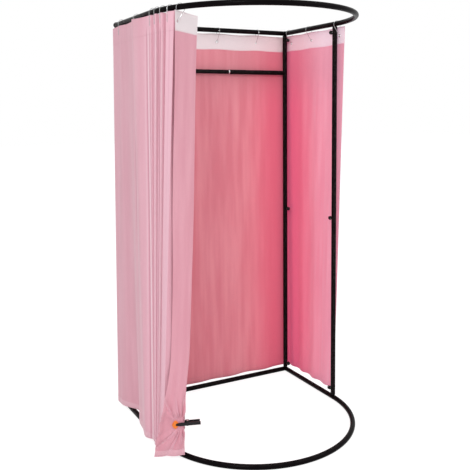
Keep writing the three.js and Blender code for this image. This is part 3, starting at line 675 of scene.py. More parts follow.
def cloth_sides(tree, through, parts, lining, light):
    """Colour of the outside, and of the room side with its band, without hems and creases, with
    painted light and shade in it.
    """
    # Painted light: the outside of the gathered folds is paler, to lift the shade that falls
    # between them.
    gathered = ramp(tree, parts[0], GATHERED_FROM - 0.05, GATHERED_FROM + 0.1)
    # Each side is mixed from a shaded and a lit pink by the painted streaks.
    outside = mix_colour(tree, light, linear(225, 163, 178), linear(232, 174, 188))
    outside = mix_colour(tree, gathered, outside, linear(245, 192, 206))
    # Painted shade: the room side of the walls is a deeper pink than the same cloth outside and on
    # the flap, and deeper still near the rear right corner.
    walls = mix_colour(tree, light, linear(235, 139, 153), linear(246, 161, 172))
    walls = mix_colour(tree, through["Depth"], walls, linear(238, 123, 148))
    # Painted shade: darker and greyer on the room side towards the band.
    under_band = ramp(tree, parts[1], 1.55, 1.8, 0.0, 0.5)
    walls = mix_colour(tree, under_band, walls, linear(212, 132, 142))
    flap = mix_colour(tree, light, linear(222, 152, 167), linear(229, 164, 178))
    inside = mix_colour(tree, ramp(tree, lining, FLAP_ROOM_SIDE, WALL_ROOM_SIDE), flap, walls)
    in_band = ramp(tree, parts[1], CLOTH_TOP - BAND - SEAM_BLUR, CLOTH_TOP - BAND + SEAM_BLUR)
    inside = mix_colour(tree, in_band, inside, linear(240, 228, 230))
    return mix_colour(tree, ramp(tree, lining, EDGE, EDGE + 0.05), outside, inside)


def shaded_creases(tree, colour):
    """Painted shade, a deeper pink, in the valleys of the cloth and painted highlights, a paler
    pink, on its ridges.
    """
    ridge = put(tree, "ShaderNodeAttribute", attribute_name="ridge").outputs["Fac"]
    valleys = ramp(tree, ridge, -0.9, 0.0, 0.65, 0.0)
    ridges = ramp(tree, ridge, 0.1, 0.9, 0.0, 0.8)
    colour = mix_colour(tree, valleys, colour, linear(190, 98, 126))
    return mix_colour(tree, ridges, colour, linear(252, 226, 232))


def sewn_rows(tree, cloth_map):
    """Mask and relief of the stitches along the hem and the band."""
    sewn = None
    raised = None
    for row in STITCH_ROWS:
        stitch = use_group(tree, STITCH, {"Map": cloth_map, "Row Height": row})
        if sewn is None:
            sewn = stitch["Mask"]
            raised = stitch["Height"]
        else:
            sewn = maths(tree, "MAXIMUM", sewn, stitch["Mask"])
            raised = maths(tree, "ADD", raised, stitch["Height"])
    return sewn, raised


def curtain_cloth():
    """Pink cloth, painted deeper pink as shade on the room side, where a pale band runs along its
    upper edge.
    """
    material, tree, shader, place = new_material("curtain_pink_cloth")
    cloth_map = put(tree, "ShaderNodeUVMap", uv_map="cloth_map").outputs[0]
    parts = parts_of(tree, cloth_map)
    lining = put(tree, "ShaderNodeAttribute", attribute_name="lining").outputs["Fac"]
    woven = use_group(tree, WEAVE, {"Map": cloth_map, "Thread": 0.0007, "Slub": 0.5})

    # Soft upright streaks of painted light and shade, as folds in hanging cloth show them; the
    # broad ones also vary its gloss.
    streaks = stretched(tree, cloth_map, 1.0, 0.08, 1.0)
    broad_streaks = noise(tree, streaks, 5.0, 3.0, 0.55)
    narrow = noise(tree, streaks, 26.0, 2.0, 0.5)
    light = maths(tree, "MULTIPLY_ADD", narrow, 0.6, maths(tree, "MULTIPLY", broad_streaks, 0.4))
    light = ramp(tree, light, 0.34, 0.66)
    through = use_group(tree, THROUGH, {"Vector": place})
    colour = cloth_sides(tree, through, parts, lining, light)
    on_walls = ramp(tree, lining, 0.7, 0.9)
    in_hem = ramp(tree, parts[1], HEM_SEAM - SEAM_BLUR, HEM_SEAM + SEAM_BLUR, 0.4, 0.0)
    in_hem = maths(tree, "MULTIPLY", in_hem, maths(tree, "SUBTRACT", 1.0, on_walls))
    colour = mix_colour(tree, in_hem, colour, linear(244, 204, 214))
    colour = shaded_creases(tree, colour)

    gaps = maths(tree, "SUBTRACT", 1.0, woven["Thread Mask"])
    shaded = maths(tree, "SUBTRACT", 1.0, maths(tree, "MULTIPLY", gaps, 0.16))
    shaded = maths(tree, "ADD", shaded, maths(tree, "MULTIPLY", woven["Slubs"], 0.2))
    colour = darkened(tree, colour, shaded)
    sewn, raised = sewn_rows(tree, cloth_map)
    colour = mix_colour(tree, sewn, colour, linear(206, 130, 148))

    wrinkles = noise(tree, stretched(tree, cloth_map, 1.0, 0.22, 1.0), 26.0, 4.0, 0.6)
    creased = relief(tree, wrinkles, 0.0016, 0.55)
    stitched = relief(tree, raised, 0.0006, 0.8, creased)
    # The room side of the walls glows: painted light of daylight through the cloth.
    fill(tree, shader, {
        "Base Color": colour,
        "Emission Color": mix_colour(tree, on_walls, BLACK, through["Colour"]),
        "Emission Strength": 1.0,
        "Roughness": maths(tree, "MULTIPLY_ADD", broad_streaks, 0.12, 0.56),
        "Specular IOR Level": 0.35,
        "Sheen Weight": 0.25,
        "Sheen Roughness": 0.45,
        "Normal": relief(tree, woven["Height"], 0.00022, 0.5, stitched),
    })
    return material


def white_outside(tree):
    """1 where the camera, a gloss or something clear looks, and 0 for light on the object."""
    rays = tree.nodes.new("ShaderNodeLightPath").outputs
    seen = maths(tree, "ADD", rays["Is Camera Ray"], rays["Is Glossy Ray"])
    return maths(tree, "ADD", seen, rays["Is Transmission Ray"], clamp=True)


def white_floor():
    """White to the camera and in reflections, with the object's own shadow on it."""
    material = bpy.data.materials.new("white_floor")
    material.use_nodes = True
    tree = material.node_tree
    tree.nodes.clear()
    output = tree.nodes.new("ShaderNodeOutputMaterial")
    seen = white_outside(tree)
    lit = put(tree, "ShaderNodeBsdfDiffuse", {"Color": (0.32, 0.32, 0.32, 1)})
    glow = put(tree, "ShaderNodeEmission", {"Color": WHITE, "Strength": 0.86})
    both = put(tree, "ShaderNodeAddShader", {0: lit.outputs[0], 1: glow.outputs[0]})
    plain = put(tree, "ShaderNodeBsdfDiffuse", {"Color": (0.75, 0.75, 0.75, 1)})
    chosen = put(tree, "ShaderNodeMixShader", {0: seen, 1: plain.outputs[0], 2: both.outputs[0]})
    tree.links.new(chosen.outputs[0], output.inputs[0])
    return material


STEEL = gloss_black_steel()
BRIGHT = bright_steel()
KNOB = moulded_plastic(
    "knob_black_plastic", linear(21, 19, 21), linear(74, 72, 72), 0.46, 0.00006)
CLAMP = moulded_plastic(
    "clamp_black_plastic", linear(22, 19, 23), linear(80, 78, 78), 0.4, 0.00005)
ORANGE = orange_rubber()
PINK = curtain_cloth()


# Geometry node trees. Each ends in Realize Instances and Set Material.

def geometry_tree(name, inputs):
    tree = bpy.data.node_groups.new(name, "GeometryNodeTree")
    socket(tree, "Geometry", "Geometry")
    for label, kind, value in inputs:
        socket(tree, label, kind, value=value)
    socket(tree, "Geometry", "Geometry", "OUTPUT")
    return tree, tree.nodes.new("NodeGroupInput").outputs


def end_geometry(tree, geometry, material):
    realized = put(tree, "GeometryNodeRealizeInstances", {0: geometry}).outputs[0]
    coloured = put(tree, "GeometryNodeSetMaterial", {"Geometry": realized, "Material": material})
    output = tree.nodes.new("NodeGroupOutput")
    tree.links.new(coloured.outputs[0], output.inputs[0])
    return tree


def named_value(tree, name):
    settings = {"data_type": "FLOAT"}
    return put(tree, "GeometryNodeInputNamedAttribute", {"Name": name}, **settings).outputs[0]


def circle_of(tree, sides, radius):
    inputs = {"Resolution": sides, "Radius": radius}
    return put(tree, "GeometryNodeCurvePrimitiveCircle", inputs).outputs[0]


def end_sweep(tree, given, outline):
    """Sweeps an outline along the edges given, its size scaled by their girth."""
    route = put(tree, "GeometryNodeMeshToCurve", {0: given["Geometry"]}).outputs[0]
    swept = put(tree, "GeometryNodeCurveToMesh", {
        "Curve": route, "Profile Curve": outline, "Scale": named_value(tree, "girth"),
        "Fill Caps": True,
    }).outputs[0]
    return end_geometry(tree, swept, given["Material"])


def make_tube_tree():
    """A round or many-sided bar along the edges given."""
    tree, given = geometry_tree("bar_along_path", [
        ("Radius", "Float", 0.01), ("Sides", "Int", 24), ("Material", "Material", None),
    ])
    return end_sweep(tree, given, circle_of(tree, given["Sides"], given["Radius"]))


def make_knob_tree():
    """A lobed knob along the edges given."""
    tree, given = geometry_tree("lobed_knob", [
        ("Radius", "Float", 0.01), ("Lobes", "Int", 6), ("Lobe Depth", "Float", 0.0015),
        ("Sides", "Int", 96), ("Material", "Material", None),
    ])
    circle = circle_of(tree, given["Sides"], 1.0)
    share = tree.nodes.new("GeometryNodeSplineParameter").outputs["Factor"]
    turn = maths(tree, "MULTIPLY", share, 2 * math.pi)
    wave = maths(tree, "COSINE", maths(tree, "MULTIPLY", turn, given["Lobes"]))
    half_depth = maths(tree, "MULTIPLY", given["Lobe Depth"], 0.5)
    dip = maths(tree, "MULTIPLY", maths(tree, "SUBTRACT", 1.0, wave), half_depth)
    reach = maths(tree, "SUBTRACT", given["Radius"], dip)
    place = tree.nodes.new("GeometryNodeInputPosition").outputs[0]
    pushed = put(tree, "ShaderNodeVectorMath", {0: place, "Scale": reach}, operation="SCALE")
    outline = put(tree, "GeometryNodeSetPosition", {
        "Geometry": circle, "Position": pushed.outputs[0],
    }).outputs[0]
    return end_sweep(tree, given, outline)


def make_places_tree():
    """One copy of an object at every point given, turned about Z by the point's turn."""
    tree, given = geometry_tree("copies_at_places", [
        ("Copied", "Object", None), ("Material", "Material", None),
    ])
    copied = put(tree, "GeometryNodeObjectInfo", {"Object": given["Copied"]}).outputs["Geometry"]
    spin = put(tree, "ShaderNodeCombineXYZ", {2: named_value(tree, "turn")}).outputs[0]
    rotation = put(tree, "FunctionNodeEulerToRotation", {0: spin}).outputs[0]
    points = put(tree, "GeometryNodeMeshToPoints", {0: given["Geometry"]}).outputs[0]
    copies = put(tree, "GeometryNodeInstanceOnPoints", {
        "Points": points, "Instance": copied, "Rotation": rotation,
    }).outputs[0]
    return end_geometry(tree, copies, given["Material"])


TUBE_TREE = make_tube_tree()
KNOB_TREE = make_knob_tree()
PLACES_TREE = make_places_tree()


def grown(name, mesh, tree, values):
    """The mesh that a node tree makes from another mesh, with the modifier gone."""
    holder = bpy.data.objects.new(name, mesh)
    bpy.context.scene.collection.objects.link(holder)
    modifier = holder.modifiers.new("grow", "NODES")
    modifier.node_group = tree
    made_of = tree.interface.items_tree
    sockets = {item.name: item.identifier for item in made_of if item.in_out == "INPUT"}
    for label, value in values.items():
        modifier[sockets[label]] = value
    bpy.context.view_layer.update()
    evaluated = holder.evaluated_get(bpy.context.evaluated_depsgraph_get())
    made = bpy.data.meshes.new_from_object(evaluated)
    made.name = name
    bpy.data.objects.remove(holder)
    return made


def path_mesh(points, girth=None, closed=False):
    """Edges from point to point, with the share of its full size that a bar has at each."""
    count = len(points)
    edges = [(i, i + 1) for i in range(count - 1)]
    if closed:
        edges.append((count - 1, 0))
    mesh = bpy.data.meshes.new("path")
    mesh.from_pydata([tuple(point) for point in points], edges, [])
    shares = mesh.attributes.new("girth", "FLOAT", "POINT")
    shares.data.foreach_set("value", girth or [1.0] * count)
    return mesh


def bar_mesh(points, radius, material=STEEL, sides=TUBE_SIDES, girth=None, closed=False):
    path = path_mesh(points, girth, closed)
    return grown("bar", path, TUBE_TREE, {"Radius": radius, "Sides": sides, "Material": material})


def straight_bar(start, end, radius=TUBE_RADIUS, material=STEEL, sides=TUBE_SIDES,
                 bevel=END_BEVEL, end_share=None):
    """A straight bar with bevelled ends, narrowed there to a share of its size."""
    start = Vector(start)
    end = Vector(end)
    along = (end - start).normalized() * bevel
    narrow = end_share or 1 - bevel / TUBE_RADIUS
    points = [start, start + along, end - along, end]
    return bar_mesh(points, radius, material, sides, [narrow, 1.0, 1.0, narrow])


def turned_mesh(profile, start, radius, material, sides):
    """A turned piece round +Z, from its profile above a start."""
    points = [(0, 0, start + height) for height, _ in profile]
    return bar_mesh(points, radius, material, sides, [share for _, share in profile])


def circle_points(count):
    """The cosine and sine of each step of a full turn."""
    angles = [2 * math.pi * step / count for step in range(count)]
    return [(math.cos(angle), math.sin(angle)) for angle in angles]


# Pieces

def joined(meshes, name):
    """One mesh of several, with all their materials."""
    together = bmesh.new()
    materials = []
    for mesh in meshes:
        slots = []
        for material in mesh.materials:
            if material not in materials:
                materials.append(material)
            slots.append(materials.index(material))
        before = len(together.faces)
        together.from_mesh(mesh)
        together.faces.ensure_lookup_table()
        for face in together.faces[before:]:
            face.material_index = slots[face.material_index]
    result = bpy.data.meshes.new(name)
    together.to_mesh(result)
    together.free()
    for material in materials:
        result.materials.append(material)
    return result


def add_piece(name, mesh, body, slot, *nodes, smooth_angle=35):
    """Puts a finished mesh into the scene as a piece that moves with a body."""
    mesh.name = name
    mesh.polygons.foreach_set("use_smooth", [True] * len(mesh.polygons))
    mesh.set_sharp_from_angle(angle=math.radians(smooth_angle))
    piece = bpy.data.objects.new(name, mesh)
    bpy.context.scene.collection.objects.link(piece)
    if body:
        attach(piece, body)
    if nodes:
        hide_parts(*nodes)
    return piece


def on_ring(degrees, radius):
    angle = math.radians(degrees)
    return Vector((-radius * math.cos(angle), -SIDE_DEPTH - radius * math.sin(angle)))


def mitre(mesh, side, edge_x, along_x):
    """Slants the end of a bar at a rear corner, to 45 degrees in plan."""
    for vertex in mesh.vertices:
        place = vertex.co
        if along_x and abs(place.x - edge_x) < 2 * END_BEVEL:
            place.x += side * place.y - side * SEAM / 2
        if not along_x and abs(place.y) < 2 * END_BEVEL:
            place.y += side * (place.x - side * HALF_WIDTH) - SEAM / 2


def corner_weld(side, axis):
    """The bead of weld round the mitre of a rear corner."""
    points = []
    for step, (out, up) in enumerate(circle_points(WELD_STEPS)):
        wander = WELD_WANDER * math.sin(WELD_WAVES * 2 * math.pi * step / WELD_STEPS)
        rise = max(TUBE_RADIUS * up, WELD_LOWEST)
        x = side * (HALF_WIDTH + TUBE_RADIUS * out) + wander
        points.append((x, TUBE_RADIUS * out, axis + rise))
    girth = [1 + WELD_LUMPS * math.sin(WELD_LUMP_RATE * step) for step in range(WELD_STEPS)]
    return bar_mesh(points, WELD_BEAD, STEEL, 10, girth, closed=True)


def front_ring_mesh(axis):
    """The bent tube at the front, with its straight ends."""
    steps = range(RING_STEPS + 1)
    bend = [Vector((*on_ring(180 * step / RING_STEPS, HALF_WIDTH), axis)) for step in steps]
    rear_end = -SIDE_DEPTH + STRAIGHT_END
    start = Vector((-HALF_WIDTH, rear_end, axis))
    end = Vector((HALF_WIDTH, rear_end, axis))
    inset = Vector((0, -END_BEVEL, 0))
    narrow = 1 - END_BEVEL / TUBE_RADIUS
    points = [start, start + inset, *bend, end + inset, end]
    girth = [narrow, *[1.0] * (len(points) - 2), narrow]
    return bar_mesh(points, TUBE_RADIUS, girth=girth)


def add_tube(name, mesh, node):
    add_piece(name, mesh, "frame", "frame_steel", node)


def add_ring_bars(level, axis):
    """The rear bar, side bars and bent front tube of the base or of the top."""
    ends = (-HALF_WIDTH, 0, axis), (HALF_WIDTH, 0, axis)
    rear = straight_bar(*ends, bevel=END_BEVEL / 4)
    for side in (-1, 1):
        mitre(rear, side, side * HALF_WIDTH, True)
    welds = [corner_weld(side, axis) for side in (-1, 1)]
    add_tube(f"{level}_rear_tube", joined([rear, *welds], "rear"), f"{level}_rear_bar")
    front = -SIDE_DEPTH + STRAIGHT_END + SEAM
    for name, side in (("left", -1), ("right", 1)):
        x = side * HALF_WIDTH
        bar = straight_bar((x, front, axis), (x, 0, axis))
        mitre(bar, side, x, False)
        add_tube(f"{level}_side_tube_{name}", bar, f"{level}_side_bar_{name}")
    add_tube(f"{level}_bent_tube", front_ring_mesh(axis), f"{level}_front_ring")


CORNERS = [
    ("rear_left", -HALF_WIDTH, 0.0, -1),
    ("rear_right", HALF_WIDTH, 0.0, -1),
    ("front_left", -HALF_WIDTH, -SIDE_DEPTH, 1),
    ("front_right", HALF_WIDTH, -SIDE_DEPTH, 1),
]
SCREW_LEVELS = {
    "base": POST_FOOT + END_SCREW_INSET,
    "middle": SPLIT_HEIGHT + SPLIT_SCREW_INSET,
    "top": POST_TOP - END_SCREW_INSET,
}


def weld_nut(x, y, z, facing):
    """A nut on a post for its thumb screw, and the bead of weld round it."""
    near = (x, y + facing * (TUBE_RADIUS - NUT_SUNK), z)
    far = (x, y + facing * (TUBE_RADIUS + NUT_HEIGHT), z)
    corner = NUT_FLAT / math.cos(math.pi / 6)
    end_share = 1 - NUT_BEVEL / NUT_FLAT
    nut = straight_bar(near, far, corner, sides=6, bevel=NUT_BEVEL, end_share=end_share)
    bead = []
    for out, up in circle_points(NUT_BEAD_STEPS):
        across = NUT_BEAD_REACH * out
        surface = math.sqrt(TUBE_RADIUS ** 2 - across ** 2)
        bead.append((x + across, y + facing * surface, z + NUT_BEAD_REACH * up))
    return [nut, bar_mesh(bead, NUT_BEAD, sides=8, closed=True)]


def add_posts():
    for corner, x, y, facing in CORNERS:
        nuts = {level: weld_nut(x, y, z, facing) for level, z in SCREW_LEVELS.items()}
        lower = straight_bar((x, y, POST_FOOT), (x, y, SPLIT_HEIGHT - SEAM))
        upper = straight_bar((x, y, SPLIT_HEIGHT), (x, y, POST_TOP))
        lower = joined([lower, *nuts["base"]], "lower")
        upper = joined([upper, *nuts["middle"], *nuts["top"]], "upper")
        add_tube(f"lower_tube_{corner}", lower, f"lower_post_{corner}")
        add_tube(f"upper_tube_{corner}", upper, f"upper_post_{corner}")


def thread_mesh(length):
    """The ridge of the thread, wound round the shank."""
    helix = []
    for step in range(int(length / THREAD_PITCH) * THREAD_STEPS + 1):
        angle = 2 * math.pi * step / THREAD_STEPS
        height = SHANK_START + THREAD_START + THREAD_PITCH * step / THREAD_STEPS
        helix.append((THREAD_MIDDLE * math.cos(angle), THREAD_MIDDLE * math.sin(angle), height))
    return bar_mesh(helix, THREAD_RIDGE, BRIGHT, 5)


def thumb_screw_mesh():
    """A thumb screw from its post's axis along +Z: threaded shank, washer face and lobed knob."""
    face = TUBE_RADIUS + NUT_HEIGHT + BARE_THREAD
    core = straight_bar((0, 0, SHANK_START), (0, 0, face + SHANK_END), SHANK_CORE, BRIGHT, 20)
    path = path_mesh([(0, 0, face + height) for height, _ in KNOB_PROFILE],
                     [share for _, share in KNOB_PROFILE])
    knob = grown("knob", path, KNOB_TREE, {
        "Radius": KNOB_RADIUS, "Lobes": LOBES, "Lobe Depth": LOBE_DEPTH, "Sides": 96,
        "Material": KNOB,
    })
    hub = turned_mesh(HUB_PROFILE, face, HUB_RADIUS, KNOB, 32)
    cap = turned_mesh(CAP_PROFILE, face, CAP_RADIUS, KNOB, 32)
    return joined([core, thread_mesh(face - SHANK_START), knob, hub, cap], "thumb_screw")


def add_thumb_screws():
    pattern = thumb_screw_mesh()
    turn = 0
    for corner, x, y, facing in CORNERS:
        for level, z in SCREW_LEVELS.items():
            mesh = pattern.copy()
            tip = Matrix.Rotation(-facing * math.pi / 2, 4, "X")
            spin = Matrix.Rotation(math.radians(turn), 4, "Z")
            mesh.transform(Matrix.Translation((x, y, z)) @ tip @ spin)
            node = f"{level}_screw_{corner}"
            name = f"{level}_thumb_screw_{corner}"
            add_piece(name, mesh, node, "black_plastic", node, smooth_angle=42)
            turn += SCREW_TURN


def add_hanging_rail():
    end = HALF_WIDTH - TUBE_RADIUS + RAIL_SUNK
    thin_ends = (-end, 0, RAIL_HEIGHT), (RAIL_JOINT, 0, RAIL_HEIGHT)
    add_tube("rail_thin_tube", straight_bar(*thin_ends, THIN_RAIL), "hanging_rail_thin")
    thick_ends = (RAIL_JOINT + SEAM, 0, RAIL_HEIGHT), (end, 0, RAIL_HEIGHT)
    add_tube("rail_thick_tube", straight_bar(*thick_ends, THICK_RAIL), "hanging_rail_thick")
    start = RAIL_JOINT - COLLAR_WIDTH
    points = [(start + COLLAR_WIDTH * share, 0, RAIL_HEIGHT) for share, _ in COLLAR_PROFILE]
    widths = [width for _, width in COLLAR_PROFILE]
    collar = bar_mesh(points, COLLAR_RADIUS, BRIGHT, 48, widths)
    add_piece("rail_collar", collar, "frame", "bright_wire", "hanging_rail_collar")


# Curtain. Its walls and folds are lines in plan at each height. They are the lines of the packed
# model's cloth, but for the front edge of the right wall and the bow and lean of the leading fold.

def drop_at(z):
    """How far down the cloth a height is, from 0 at the upper edge to 1 at the floor."""
    return (CLOTH_TOP - z) / CLOTH_TOP


def between(first, second, share):
    return first + (second - first) * share


def smooth(share):
    clear = np.clip(share, 0.0, 1.0)
    return clear * clear * (3 - 2 * clear)


def fade(value, start, full):
    """0 up to the start and 1 past where it is full, which may lie to either side."""
    return smooth((value - start) / (full - start))


def peak(offset, breadth):
    """1 in the middle, and next to nothing past twice the breadth."""
    return np.exp(-(offset / breadth) ** 2)


def ripple(along, waves):
    """Waves along a line that die away at its ends."""
    ends = np.minimum(np.minimum(along, 1 - along), 0.25)
    return np.sin(along * waves * 2 * math.pi) * np.sin(ends * 2 * math.pi)


BULGE_START = -SIDE_DEPTH * LEFT_RING_SHARES[-1] - RING_RADIUS / 2
GATHER_START = GATHERED_RINGS[0] - RING_LEAD
FOLD_STARTS = [ring - RING_LEAD for ring in GATHERED_RINGS] + [GATHER_END]


def gather_point(degrees, z, fold):
    """A place on the gathered cloth round the front ring, drawn in by the depth of a fold."""
    drop = drop_at(z)
    share = (degrees - GATHER_START) / (GATHER_END - GATHER_START)
    angle = np.radians(GATHER_START + (degrees - GATHER_START) * (1 - HEM_SQUEEZE_SHARE * drop))
    radius = WALL_REACH + between(FLARE, GATHER_FLARE, share) * drop - fold
    return np.stack([-radius * np.cos(angle), -SIDE_DEPTH - radius * np.sin(angle)], axis=-1)


def gather_edge(z):
    return gather_point(GATHER_START, z, 0.0)[1]


def bulge_at(y, z):
    """How far the slack cloth of the left wall stands out in front of its last ring."""
    along = (BULGE_START - y) / (BULGE_START - gather_edge(z))
    crest = between(BULGE_CREST_SHARE, HEM_BULGE_CREST_SHARE, drop_at(z))
    part = np.where(along < crest, along / crest, (1 - along) / (1 - crest))
    inside = (along > 0) & (along < 1)
    return np.where(inside, between(BULGE_DEPTH, HEM_BULGE_DEPTH, drop_at(z)) * smooth(part), 0.0)


def tuck_at(y, z):
    """How far the hem of the left wall swings in over the base bar."""
    part = np.clip((-y - TUCK_START) / TUCK_LENGTH, 0, 1)
    return TUCK_DEPTH * (drop_at(z) * np.sin(part * math.pi)) ** 2


def side_wall(side, front, waves, slack, z, shares):
    """Points of a side wall from its front edge to the rear corner."""
    drop = drop_at(z)
    turn_x = WALL_REACH + FLARE * drop - CORNER_TURN
    turn_y = CLOTH_HANG + REAR_FLARE * drop - CORNER_TURN
    part = np.minimum(shares / (1 - CORNER_SHARE), 1.0)
    y = between(front, turn_y, part)
    swing = between(TOP_WAVE, SIDE_WAVE, drop) * ripple(part, waves)
    x = turn_x + CORNER_TURN + swing + (bulge_at(y, z) - tuck_at(y, z) if slack else 0.0)
    angle = np.clip((shares - 1) / CORNER_SHARE + 1, 0, 1) * math.pi / 2
    turned = shares > 1 - CORNER_SHARE
    x = np.where(turned, turn_x + CORNER_TURN * np.cos(angle), x)
    y = np.where(turned, turn_y + CORNER_TURN * np.sin(angle), y)
    return np.stack([side * x, y], axis=-1)


def right_wall(z):
    front = -SIDE_DEPTH - FRONT_EDGE_REACH + FRONT_EDGE_LEAN * drop_at(z)
    return side_wall(1, front, SIDE_WAVES[1], False, z, np.linspace(0, 1, WALL_COLUMNS))


def rear_wall(z):
    reach = WALL_REACH + FLARE * drop_at(z) - CORNER_TURN - SEAM
    along = np.linspace(0, 1, WALL_COLUMNS)
    swing = between(TOP_WAVE, REAR_WAVE, drop_at(z)) * ripple(along, REAR_WAVES)
    y = CLOTH_HANG + REAR_FLARE * drop_at(z) + swing
    return np.stack([between(reach, -reach, along), y], axis=-1)


def left_wall(z):
    shares = np.linspace(1, 0, LEFT_COLUMNS)
    return side_wall(-1, gather_edge(z), SIDE_WAVES[0], True, z, shares)


def fold_line(index, z):
    """One gathered fold: flat past its ring, then folded inwards."""
    first = FOLD_STARTS[index]
    last = FOLD_STARTS[index + 1]
    flat = 2 * RING_LEAD / (last - first)
    along = np.linspace(0, 1, FOLD_COLUMNS)
    rise = np.clip((along - flat) / (1 - flat), 0, 1)
    depth = FOLD_DEPTHS[index] * between(1, HEM_DEPTH_SHARE, drop_at(z)) * np.sin(rise * math.pi)
    return gather_point(between(first, last, along), z, depth)


def main_line(z):
    """The cloth from the rear right corner round to the root of the leading fold."""
    folds = [fold_line(index, z)[1:] for index in range(len(GATHERED_RINGS))]
    return np.concatenate([rear_wall(z), left_wall(z)[1:], *folds])


def ring_place(degrees, inset):
    return np.array(on_ring(degrees, HALF_WIDTH - inset))


def loose_bend(z):
    """How far the fold hangs into the room between its head and the clamp."""
    return BEND_BOW * fade(drop_at(z), *BOW_SPAN) * (1 - pinch_at(z))


def loose_edge(z):
    """How the free edge leans: degrees towards its root, and distance outwards."""
    drop = drop_at(z)
    slide = EDGE_SLIDE * fade(drop, *SLIDE_SPAN) * fade(drop, *SLIDE_END_SPAN)
    lift = EDGE_LIFT * fade(drop, *LIFT_SPAN)
    return np.array([slide, lift * (1 - LIFT_END_SHARE * fade(drop, *LIFT_END_SPAN))])


def lead_frame(level):
    """Root, bend and free edge of the leading fold at a height, and its middle line."""
    z = CLAMP_HEIGHT if abs(level - CLAMP_HEIGHT) <= PINCH_EDGE else level
    drop = drop_at(z)
    root = gather_point(GATHER_END, z, 0.0)
    bend_at = between(np.array(LEAD_BEND_TOP), np.array(LEAD_BEND_HEM), drop)
    edge_at = between(np.array(LEAD_EDGE_TOP), np.array(LEAD_EDGE_HEM), drop ** EDGE_SWING)
    bend = ring_place(*(bend_at + [0, loose_bend(z)]))
    edge = ring_place(*(edge_at - loose_edge(z)))
    along = bend - (root + edge) / 2
    along /= np.linalg.norm(along)
    return root, bend, edge, along, np.array([along[1], -along[0]])


def pinch_at(z):
    """How far the clamp presses the layers of the leading fold together at a height."""
    past = max(0.0, abs(z - CLAMP_HEIGHT) - PINCH_EDGE)
    return float(smooth(1 - past / LEAD_PINCH_REACH))


def lead_layer(bend, along, across, end, side, shares, z):
    """Points of one layer, by their share of the way from the bend to its edge."""
    reach = bend - end
    pinch = pinch_at(z)
    half = between(LEAD_LAYER_GAP, LEAD_PINCH_GAP, pinch) / 2
    away = between(shares, smooth(1 - (1 - shares) / LEAD_PINCH_SHARE), pinch)
    back = between(half, reach @ along, shares)
    aside = between(side * half, -(reach @ across), away)
    return bend - back[:, None] * along + aside[:, None] * across


def lead_line(z):
    """The leading fold from its root round the bend to its free edge."""
    root, bend, edge, along, across = lead_frame(z)
    half = between(LEAD_LAYER_GAP, LEAD_PINCH_GAP, pinch_at(z)) / 2
    first = lead_layer(bend, along, across, root, -1, np.linspace(1, 0, LAYER_COLUMNS), z)
    angle = np.linspace(0, math.pi, BEND_COLUMNS + 2)[1:-1]
    ahead = (np.sin(angle) - 1)[:, None] * along
    turned = bend + half * (ahead - np.cos(angle)[:, None] * across)
    second = lead_layer(bend, along, across, edge, 1, np.linspace(0, 1, LAYER_COLUMNS), z)
    return np.concatenate([first, turned, second])


def cloth_levels(creased):
    """Heights of the rows of a sheet, close together round the clamp where it is creased."""
    hem = [HEM_HEIGHT, HEM_HEIGHT + 0.003, HEM_SEAM - 0.003, HEM_SEAM + 0.001]
    low = np.linspace(*LOW_ROWS_SPAN, CREASED_LOW_ROWS if creased else LOW_ROWS)
    high = np.linspace(HIGH_ROWS_START, CLOTH_TOP - BAND - 0.02, HIGH_ROWS)
    band = [CLOTH_TOP - BAND - 0.001, CLOTH_TOP - BAND + 0.004]
    return [*hem, *low, *high, *band, *HEAD_ROWS, CLOTH_TOP - 0.002, CLOTH_TOP]


def freedom(u, z):
    """How freely the cloth swells: less towards its ends and under the rings."""
    ends = np.clip(np.minimum(u, u[-1] - u) / END_REACH, 0, 1)
    return ends * (1 - HEAD_REST * fade(z, *HEAD_SPAN))


def flutter(u, z):
    """The small swells of hanging cloth, at distances along it and a height."""
    waves = 0.0
    for depth, rate, wander, wander_rate, lag, phase in SWELLS:
        waves = waves + np.sin(u * rate + wander * np.sin(z * wander_rate + lag) + phase) * depth
    return waves * between(SWELL_TOP_SHARE, 1, drop_at(z)) * freedom(u, z)


def sag_at(u, line, rings):
    """How far the upper edge hangs down between the rings."""
    nearest = np.full(len(u), np.inf)
    for ring in rings:
        eye = np.array(ring.bar + ring.away * ring.reach)
        held = u[np.argmin(np.linalg.norm(line - eye, axis=1))]
        nearest = np.minimum(nearest, np.abs(u - held))
    return SAG * fade(nearest, 0, SAG_REACH)


def crease_at(u, bend, z):
    """Creases that run out from the clamp's pads, from -1 in a valley to 1 on a ridge."""
    pad = PAD_TO_PIVOT - BEND_TO_PIVOT
    aside = np.abs(u - bend)
    along = aside - CREASE_ORIGIN_SHARE * pad
    rise = z - CLAMP_HEIGHT
    reach = np.hypot(along, rise)
    beside_pad = np.abs(aside - pad) - PAD_LENGTH / 2
    over_pad = abs(rise) - PAD_HEIGHT / 2
    clear = np.hypot(np.maximum(beside_pad, 0), max(over_pad, 0)) - CREASE_MARGIN
    slanted = fade(abs(rise) / np.maximum(reach, 0.001), *CREASE_SLANT_SPAN)
    size = smooth(clear / CREASE_ONSET) * peak(reach, CREASE_REACH) * slanted
    size = size * smooth(aside / CREASE_BEND_GAP)
    sway = CREASE_SWAY * np.sin(reach * CREASE_SWAY_RATE)
    wave = np.abs(np.sin(CREASES / 2 * np.arctan2(rise, along) + sway))
    # An upright hollow beside the pad: a dent in the cloth that is also coloured as painted
    # shadow.
    hollow = peak(aside - HOLLOW_ASIDE, HOLLOW_BREADTH) * smooth(rise / HOLLOW_RISE)
    hollow = hollow * peak(rise - HOLLOW_RISE, HOLLOW_LENGTH)
    return np.clip(size * (1 - 2 * wave) - HOLLOW * hollow, -1, 1)


